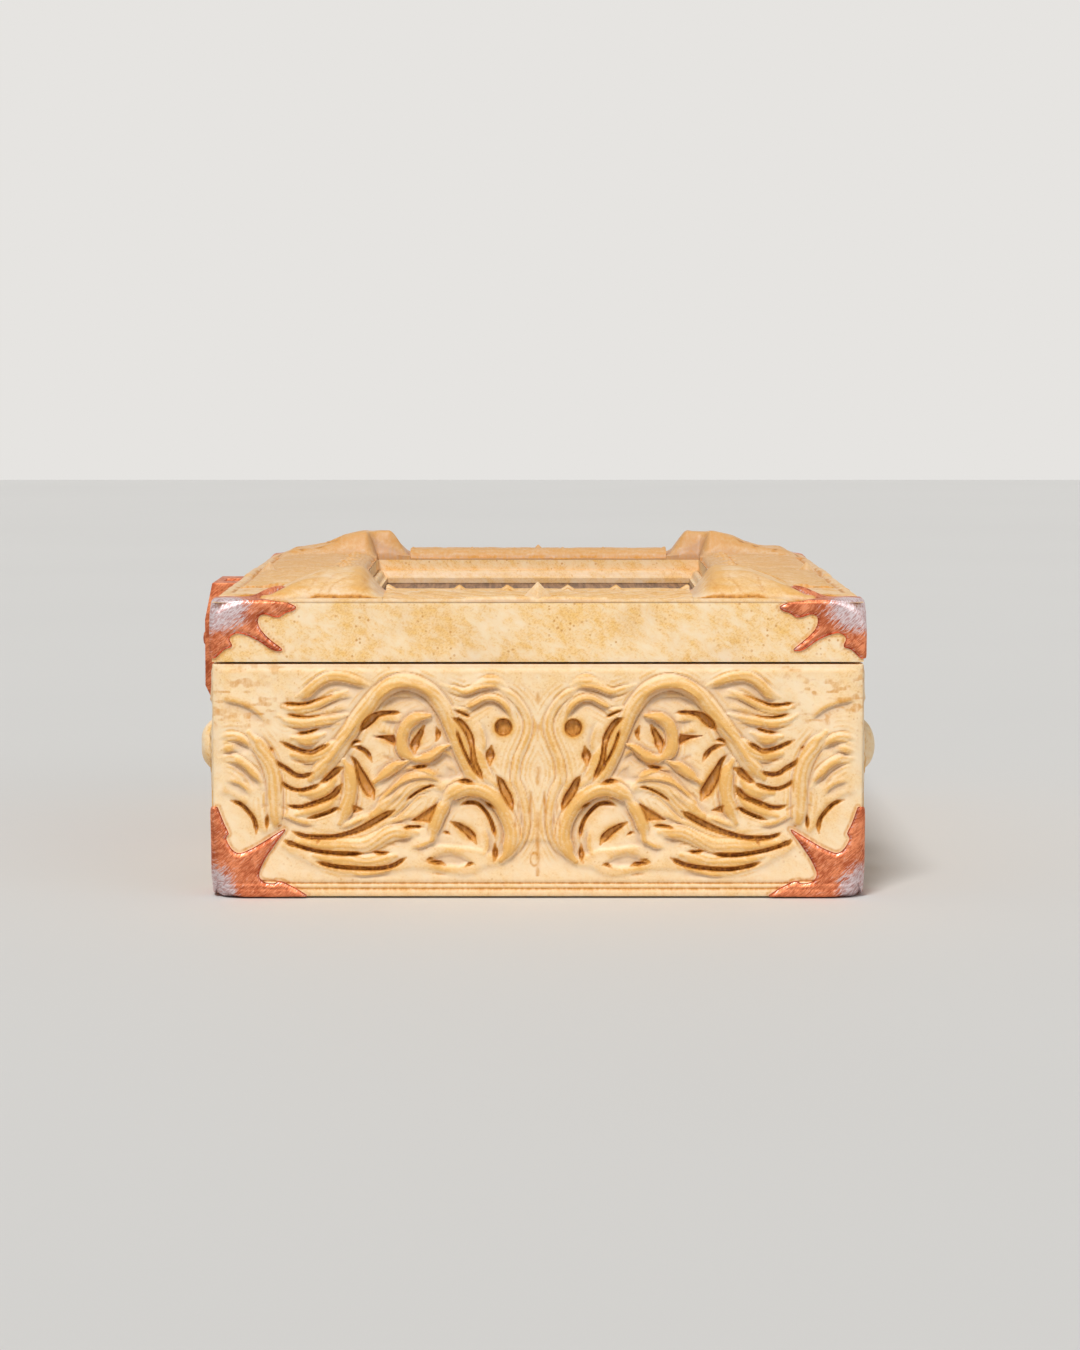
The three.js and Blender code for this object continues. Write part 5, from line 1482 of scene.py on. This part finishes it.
def lid_mount_mesh(voxel):
    start = ((-MOUNT_OUT, -MOUNT_OUT), (LID_ARM_SLOPE, -MOUNT_OUT), (LID_ARM_SLOPE + 3.6, -0.7))
    face_line, flat_line = flat_flow(LID_MOUNT_FACE), flat_flow(LID_MOUNT_TOP)
    mesh = mount_shell(start, face_line, flat_line, 0, voxel)
    points = points_of(mesh)
    rolled = [rolled_edges(points, face_line, across, 2, axis, 1.1) for axis, across in ((0, 1), (1, 0))]
    on_top = (points[:, 1] > -0.2) & (points[:, 0] > -0.2)
    rolled.append([np.where(on_top, part, 0) for part in rolled_edges(points, flat_line, 0, 1, 2, 0.9)])
    # Pale at the corner and along the rolled edges: wear, and partly a painted highlight
    wear = np.maximum.reduce([mount_wear_highlight(points, 11.5, 9.0)] + [edge_rub_highlight for _, edge_rub_highlight in rolled])
    for axis, (drop, _) in enumerate(rolled):
        points[:, axis] += drop
    # The arms thin out towards their tips, and the slanted spike climbs the corner block
    far, near = np.maximum(points[:, 0], points[:, 1]), np.minimum(points[:, 0], points[:, 1])
    thinner = 0.75 * smoothstep((far - LID_ARM_SLOPE) / 4.5) * (near < 4)
    domed = 0.65 * smoothstep((near + 1.0) / 5.0) * (1 - smoothstep((far - 11) / 4))
    points[:, 2] += (thinner - domed) * np.clip(-0.1 - points[:, 2], 0, 1)
    points[:, 2] -= np.where(points[:, 2] < 0.2, spike_lift(points[:, 0], points[:, 1]), 0)
    set_points(mesh, np.column_stack(ease_corner(*points.T, LID_EDGE)))
    set_attribute(mesh, "wear", wear)
    return mesh


def base_mount_mesh(voxel):
    start = ((-MOUNT_OUT, 0), (BASE_MOUNT_FACE[0][0], 0))
    face_line = flat_flow(BASE_MOUNT_FACE)
    mesh = mount_shell(start, face_line, flat_flow(MOUNT_WEB), MOUNT_OUT, voxel)
    points = points_of(mesh)
    wear = np.zeros(len(points))
    for axis, across in ((1, 0), (0, 1)):
        drop, edge_rub_highlight = rolled_edges(points, face_line, across, 2, axis, 1.1)
        points[:, axis] += drop
        wear = np.maximum(wear, edge_rub_highlight)
        outer = points[:, axis] < -0.5
        for line_height in FOOT_LINES:
            points[:, axis] += np.where(outer, 0.1 * bell(points[:, 2], line_height, 0.3), 0)
    # Pale at the corner and along the rolled edges: wear, and partly a painted highlight
    wear = np.maximum(wear, mount_wear_highlight(points, 7.5, 10.0))
    a, b, c = ease_corner(*points.T, BASE_EDGE, FOOT_STRETCH)
    set_points(mesh, np.column_stack([a, b, np.maximum(c, 0)]))
    set_attribute(mesh, "wear", wear)
    return mesh


def corner_mounts(voxel):
    for body, make, height, up in (("lid", lid_mount_mesh, LID_TOP, -1), ("base", base_mount_mesh, 0, 1)):
        pattern = make(voxel)
        for index, (name, x, y) in enumerate(CORNERS):
            mesh = pattern.copy()
            mesh.name = f"copper_mount_{body}_{name}"
            points = points_of(mesh)
            along = points[:, 0] + points[:, 1]
            points += 0.05 * np.column_stack([
                ripple(along, points[:, 2], 2.6, 500 + 10 * index + axis) for axis in range(3)
            ])
            if body == "base":
                points[:, 2] = np.maximum(points[:, 2], 0)
            set_points(mesh, points)
            in_place(mesh, corner_matrix(x, y, height, up))
            add_piece(mesh, body, "copper", "copper_sheet", f"{body}_mount_{name}", 75)
        bpy.data.meshes.remove(pattern)


def finished_copy(node, name, body, look, width, segments=2, shape=None):
    """A frame node's shape with rounded edges, as a piece of its own. look is its slot and its finish."""
    bm = merged_copy(node)
    if shape:
        shape(bm)
    soften_edges(bm, width, segments)
    return add_piece(in_place(to_mesh(bm, name)), body, *look, node, 30)


# Settings


def length_setting(name, description, default):
    return bpy.props.FloatProperty(
        name=name, description=description, default=default, unit="LENGTH", subtype="DISTANCE", min=0.0,
        precision=5,
    )


def colour_setting(name, description, written):
    return bpy.props.FloatVectorProperty(
        name=name, description=description, default=linear(written), subtype="COLOR", size=3,
        min=0.0, max=1.0,
    )


class BoneBoxSizes(bpy.types.PropertyGroup):
    """How deep and how finely the box is made."""

    carving_depth: bpy.props.FloatProperty(
        name="Carving depth", description="How strong the relief is, as a share of the traced one",
        default=1.0, min=0.1, max=1.5, subtype="FACTOR",
    )
    end_spacing: length_setting("End wall spacing", "Distance between the carved ends' points", 0.0003)
    long_spacing: length_setting("Long wall spacing", "Distance between the long walls' points", 0.00042)
    lid_spacing: length_setting("Lid spacing", "Distance between the points of the lid's carving", 0.00038)
    rail_spacing: length_setting("Rail spacing", "Distance between the points of the rails' faces", 0.0006)
    mount_grain: length_setting("Mount grain", "Size of the cells of the copper mounts", 0.00023)
    boss_rise: length_setting("Boss rise", "How far the side bosses stand out", 0.005)


class BoneBoxTints(bpy.types.PropertyGroup):
    """The box's colours."""

    pale: colour_setting("Pale bone", "Plain bone", "FEE4BE")
    warm: colour_setting("Warm bone", "Bone where it has yellowed", "FACB7C")
    amber: colour_setting("Amber", "Stain in the shallow places", "D8953C")
    stain: colour_setting("Stain", "Stain in the deep cuts", "86480F")
    # Painted shade: the colour laid into the hollows and on the low sides of folds
    shade: colour_setting("Shade", "Old dust in the hollows", "CBA88A")
    copper: colour_setting("Copper", "Bright copper", "EF996C")
    copper_dark: colour_setting("Dark copper", "Tarnished copper", "A04222")
    # Worn copper, which also paints the highlight at the mounts' corners and edges
    copper_worn: colour_setting("Worn copper", "Copper rubbed pale at the corners", "DCCED0")
    steel: colour_setting("Steel", "Screws and pins", "A9A7A2")
    steel_dark: colour_setting("Dark steel", "Steel in the brushed lines", "6A6864")
    panel: colour_setting("Panel", "The wood panel in the lid", "8A5E42")
    panel_dark: colour_setting("Panel grain", "The wood panel's dark grain", "4F3122")
    felt: colour_setting("Felt", "The lining's fibres", "6E2C28")
    felt_dark: colour_setting("Felt shade", "The lining between its fibres", "431816")
    floor: colour_setting("Table", "The plain surface under the box", "D9D7D3")
    backdrop: colour_setting("Backdrop", "The plain background behind the box", "E6E4E1")


class BoneBoxView(bpy.types.PropertyGroup):
    """The camera and the light."""

    lens: bpy.props.FloatProperty(
        name="Lens", description="Focal length in millimetres", default=101.7, unit="CAMERA", min=10.0)
    distance: length_setting("Camera distance", "From the near end to the camera", 0.88)
    height: length_setting("Camera height", "Above the table", 0.1246)
    tilt: bpy.props.FloatProperty(
        name="Camera tilt", description="How far the camera looks down", default=math.radians(4.72),
        subtype="ANGLE", unit="ROTATION")
    key: bpy.props.FloatProperty(
        name="Key light", description="Strength of the light from above the near end", default=2.3, min=0.0)
    fill: bpy.props.FloatProperty(
        name="Fill light", description="Strength of the light from all round", default=0.3, min=0.0)


# Operators


class BONEBOX_OT_stage(bpy.types.Operator):
    """Sets the table, the light and the camera"""

    bl_idname = "bone_box.stage"
    bl_label = "Stage"

    def execute(self, context):
        view = context.scene.bone_box_view
        make_table()
        make_light(view.key, view.fill)
        make_camera(view)
        return {"FINISHED"}


def make_table():
    bm = bmesh.new()
    bmesh.ops.create_grid(bm, x_segments=4, y_segments=4, size=3.0)
    table = bpy.data.objects.new("table", to_mesh(bm, "table"))
    bpy.context.scene.collection.objects.link(table)
    table.location.z = -0.0002
    material, nodes, shader, place = new_material("table_top")
    cloud = nodes.noise(place, 3.0, 2).rise(0.3, 0.7)
    tint = tuple(bpy.context.scene.bone_box_tints.floor)
    colour = nodes.mix(cloud, tint, tuple(part * 0.985 for part in tint))
    nodes.fill(shader, {"Base Color": colour, "Roughness": 0.7})
    table.data.materials.append(material)


def make_light(key, fill):
    scene = bpy.context.scene
    world = bpy.data.worlds.new("studio")
    scene.world = world
    world.use_nodes = True
    nodes = Nodes(world.node_tree)
    camera = nodes.add("LightPath", (), "Is Camera Ray")
    seen = camera.most(camera.other("Is Glossy Ray").most(camera.other("Is Transmission Ray")))
    tint = tuple(scene.bone_box_tints.backdrop)
    nodes.fill(world.node_tree.nodes["Background"], {
        "Color": nodes.mix(seen, (0.95, 0.97, 1), tint), "Strength": seen * (1 - fill) + fill,
    })
    for name, strength, angle, turn in (
        ("key", key, 14, (math.radians(37), 0, math.radians(-16))),
        ("side_fill", key * 0.14, 50, (math.radians(64), 0, math.radians(50))),
    ):
        data = bpy.data.lights.new(name, "SUN")
        data.energy = strength
        data.angle = math.radians(angle)
        lamp = bpy.data.objects.new(name, data)
        lamp.rotation_euler = turn
        scene.collection.objects.link(lamp)


def make_camera(view):
    scene = bpy.context.scene
    data = bpy.data.cameras.new("camera")
    data.lens = view.lens
    data.sensor_width = 36
    camera = bpy.data.objects.new("camera", data)
    camera.location = (0.0005, -HALF_LENGTH * MM - view.distance, view.height)
    camera.rotation_euler = (math.pi / 2 - view.tilt, 0, 0)
    scene.collection.objects.link(camera)
    scene.camera = camera
    scene.view_settings.view_transform = "Standard"


class BONEBOX_OT_walls(bpy.types.Operator):
    """Carves the four walls of the base"""

    bl_idname = "bone_box.walls"
    bl_label = "Carved walls"

    def execute(self, context):
        sizes = context.scene.bone_box_sizes
        for side in SIDES:
            spacing = sizes.long_spacing if side[2] > HALF_WIDTH else sizes.end_spacing
            carved_wall(side, sizes.carving_depth, spacing / MM)
        return {"FINISHED"}


class BONEBOX_OT_bosses(bpy.types.Operator):
    """Turns the bosses on the long walls"""

    bl_idname = "bone_box.bosses"
    bl_label = "Side bosses"

    def execute(self, context):
        for corner in CORNERS:
            side_boss(corner, context.scene.bone_box_sizes.boss_rise / MM)
        return {"FINISHED"}


class BONEBOX_OT_inside(bpy.types.Operator):
    """Lays the floor board and the felt lining"""

    bl_idname = "bone_box.inside"
    bl_label = "Floor and lining"

    def execute(self, context):
        finished_copy("base_floor", "floor_board", "base", ("bone", "plain_bone"), 0.3)
        low, high = span_mm("base_lining")

        def nap(x, y):
            edge = np.minimum(high[0] - np.abs(x), high[1] - np.abs(y))
            top = low[2] + (high[2] - low[2]) * (0.45 + 0.5 * smoothstep(edge / 1.4))
            top = top + 0.1 * ripple(x, y, 9, 600) + 0.05 * ripple(x, y, 2.2, 601)
            return (np.minimum(top, high[2]),)

        mesh = topped_slab("felt_lining", (low[0], high[0]), (low[1], high[1]), low[2] - LET_IN, 0.9, nap)
        lining = add_piece(in_place(mesh), "base", "felt", "wool_felt", "base_lining")
        return {"FINISHED"}


class BONEBOX_OT_rails(bpy.types.Operator):
    """Makes the four rails of the lid"""

    bl_idname = "bone_box.rails"
    bl_label = "Lid rails"

    def execute(self, context):
        for side in SIDES:
            lid_rail(side, context.scene.bone_box_sizes.rail_spacing / MM)
        return {"FINISHED"}


class BONEBOX_OT_window(bpy.types.Operator):
    """Makes the panel in the lid and the bead that holds it"""

    bl_idname = "bone_box.window"
    bl_label = "Panel and bead"

    def execute(self, context):
        low, high = span_mm("lid_panel")

        def grain(x, y):
            return (high[2] + 0.05 * ripple(x * 6, y * 0.3, 6, 610) - 0.05,)

        mesh = topped_slab("window_panel", (low[0], high[0]), (low[1], high[1]), low[2], 1.0, grain)
        add_piece(in_place(mesh), "lid", "panel_wood", "stained_panel", "lid_panel")
        bead_low, bead_high = span_mm("lid_window_bead")
        foot, top = bead_low[2] - LET_IN, bead_high[2]
        steps = [(inset, top - drop) for inset, drop in BEAD_STEPS]
        profile = [(0, foot), *steps, (steps[-1][0], foot)]
        bm = picture_frame(profile, bead_high[0] + LET_IN, bead_high[1] + LET_IN)
        mesh = in_place(to_mesh(bm, "window_bead"))
        # Painted shade all over the bead
        set_attribute(mesh, "hollow", np.full(len(mesh.vertices), BEAD_SHADE))
        add_piece(mesh, "lid", "bone", "plain_bone", "lid_window_bead", 45)
        return {"FINISHED"}


class BONEBOX_OT_borders(bpy.types.Operator):
    """Carves the raised borders, the corner blocks and the pyramid studs of the lid"""

    bl_idname = "bone_box.borders"
    bl_label = "Lid carving"

    def execute(self, context):
        spacing = context.scene.bone_box_sizes.lid_spacing / MM
        for side in SIDES:
            border_piece(side, spacing)
            border_stud(side[0])
        for corner in CORNERS:
            corner_block(corner, spacing)
        return {"FINISHED"}


class BONEBOX_OT_mounts(bpy.types.Operator):
    """Wraps the corners in copper"""

    bl_idname = "bone_box.mounts"
    bl_label = "Corner mounts"

    def execute(self, context):
        corner_mounts(context.scene.bone_box_sizes.mount_grain / MM)
        return {"FINISHED"}


class BONEBOX_OT_hinges(bpy.types.Operator):
    """Finishes the two hinges and their screws"""

    bl_idname = "bone_box.hinges"
    bl_label = "Hinges"

    def execute(self, context):
        for hinge in ("right", "left"):
            for body in ("lid", "base"):
                finished_copy(f"hinge_{hinge}_{body}_leaf", f"{body}_leaf_{hinge}", body, COPPER, 0.16)
                for label in ("a", "b"):
                    name = f"{body}_leaf_screw_{hinge}_{label}"
                    finished_copy(f"hinge_{hinge}_{body}_screw_{label}", name, body, STEEL, 0.08)
            finished_copy(f"hinge_{hinge}_pin", f"leaf_pin_{hinge}", "base", STEEL, 0.15)
        return {"FINISHED"}


class BONEBOX_OT_hasp(bpy.types.Operator):
    """Finishes the hasp, its bracket, pin, stud, magnet and keeper"""

    bl_idname = "bone_box.hasp"
    bl_label = "Hasp"

    def execute(self, context):
        finished_copy("hasp", "hasp_shield", "hasp", COPPER, 0.5, 3)
        finished_copy("hasp_stud", "shield_stud", "hasp", COPPER, 0.12)
        finished_copy("hasp_magnet", "shield_magnet", "hasp", STEEL, 0.2)
        finished_copy("hasp_pin", "shield_pin", "hasp", STEEL, 0.15)
        finished_copy("hasp_bracket", "shield_bracket", "lid", COPPER, 0.12)
        for label in ("a", "b"):
            finished_copy(f"hasp_bracket_screw_{label}", f"bracket_screw_{label}", "lid", STEEL, 0.08)
        finished_copy("hasp_keeper", "keeper_plate", "base", STEEL, 0.12)
        return {"FINISHED"}


STEPS = (
    BONEBOX_OT_stage,
    BONEBOX_OT_walls,
    BONEBOX_OT_bosses,
    BONEBOX_OT_inside,
    BONEBOX_OT_rails,
    BONEBOX_OT_window,
    BONEBOX_OT_borders,
    BONEBOX_OT_mounts,
    BONEBOX_OT_hinges,
    BONEBOX_OT_hasp,
)


class BONEBOX_PT_panel(bpy.types.Panel):
    """The box's steps and settings"""

    bl_idname = "BONEBOX_PT_panel"
    bl_label = "Carved bone box"
    bl_space_type = "VIEW_3D"
    bl_region_type = "UI"
    bl_category = "Bone box"

    def draw(self, context):
        column = self.layout.column(align=True)
        for step in STEPS:
            column.operator(step.bl_idname)
        for settings in SETTINGS:
            group = getattr(context.scene, settings)
            box = self.layout.box()
            for name in group.__annotations__:
                box.prop(group, name)


SETTINGS = {
    "bone_box_sizes": BoneBoxSizes,
    "bone_box_tints": BoneBoxTints,
    "bone_box_view": BoneBoxView,
}


def register():
    for item in (*SETTINGS.values(), *STEPS, BONEBOX_PT_panel):
        bpy.utils.register_class(item)
    for name, group in SETTINGS.items():
        setattr(bpy.types.Scene, name, bpy.props.PointerProperty(type=group))


def unregister():
    for name in SETTINGS:
        delattr(bpy.types.Scene, name)
    for item in (BONEBOX_PT_panel, *reversed(STEPS), *SETTINGS.values()):
        bpy.utils.unregister_class(item)


def main():
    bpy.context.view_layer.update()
    register()
    for step in STEPS:
        group, name = step.bl_idname.split(".")
        getattr(getattr(bpy.ops, group), name)()


if __name__ == "__main__":
    main()
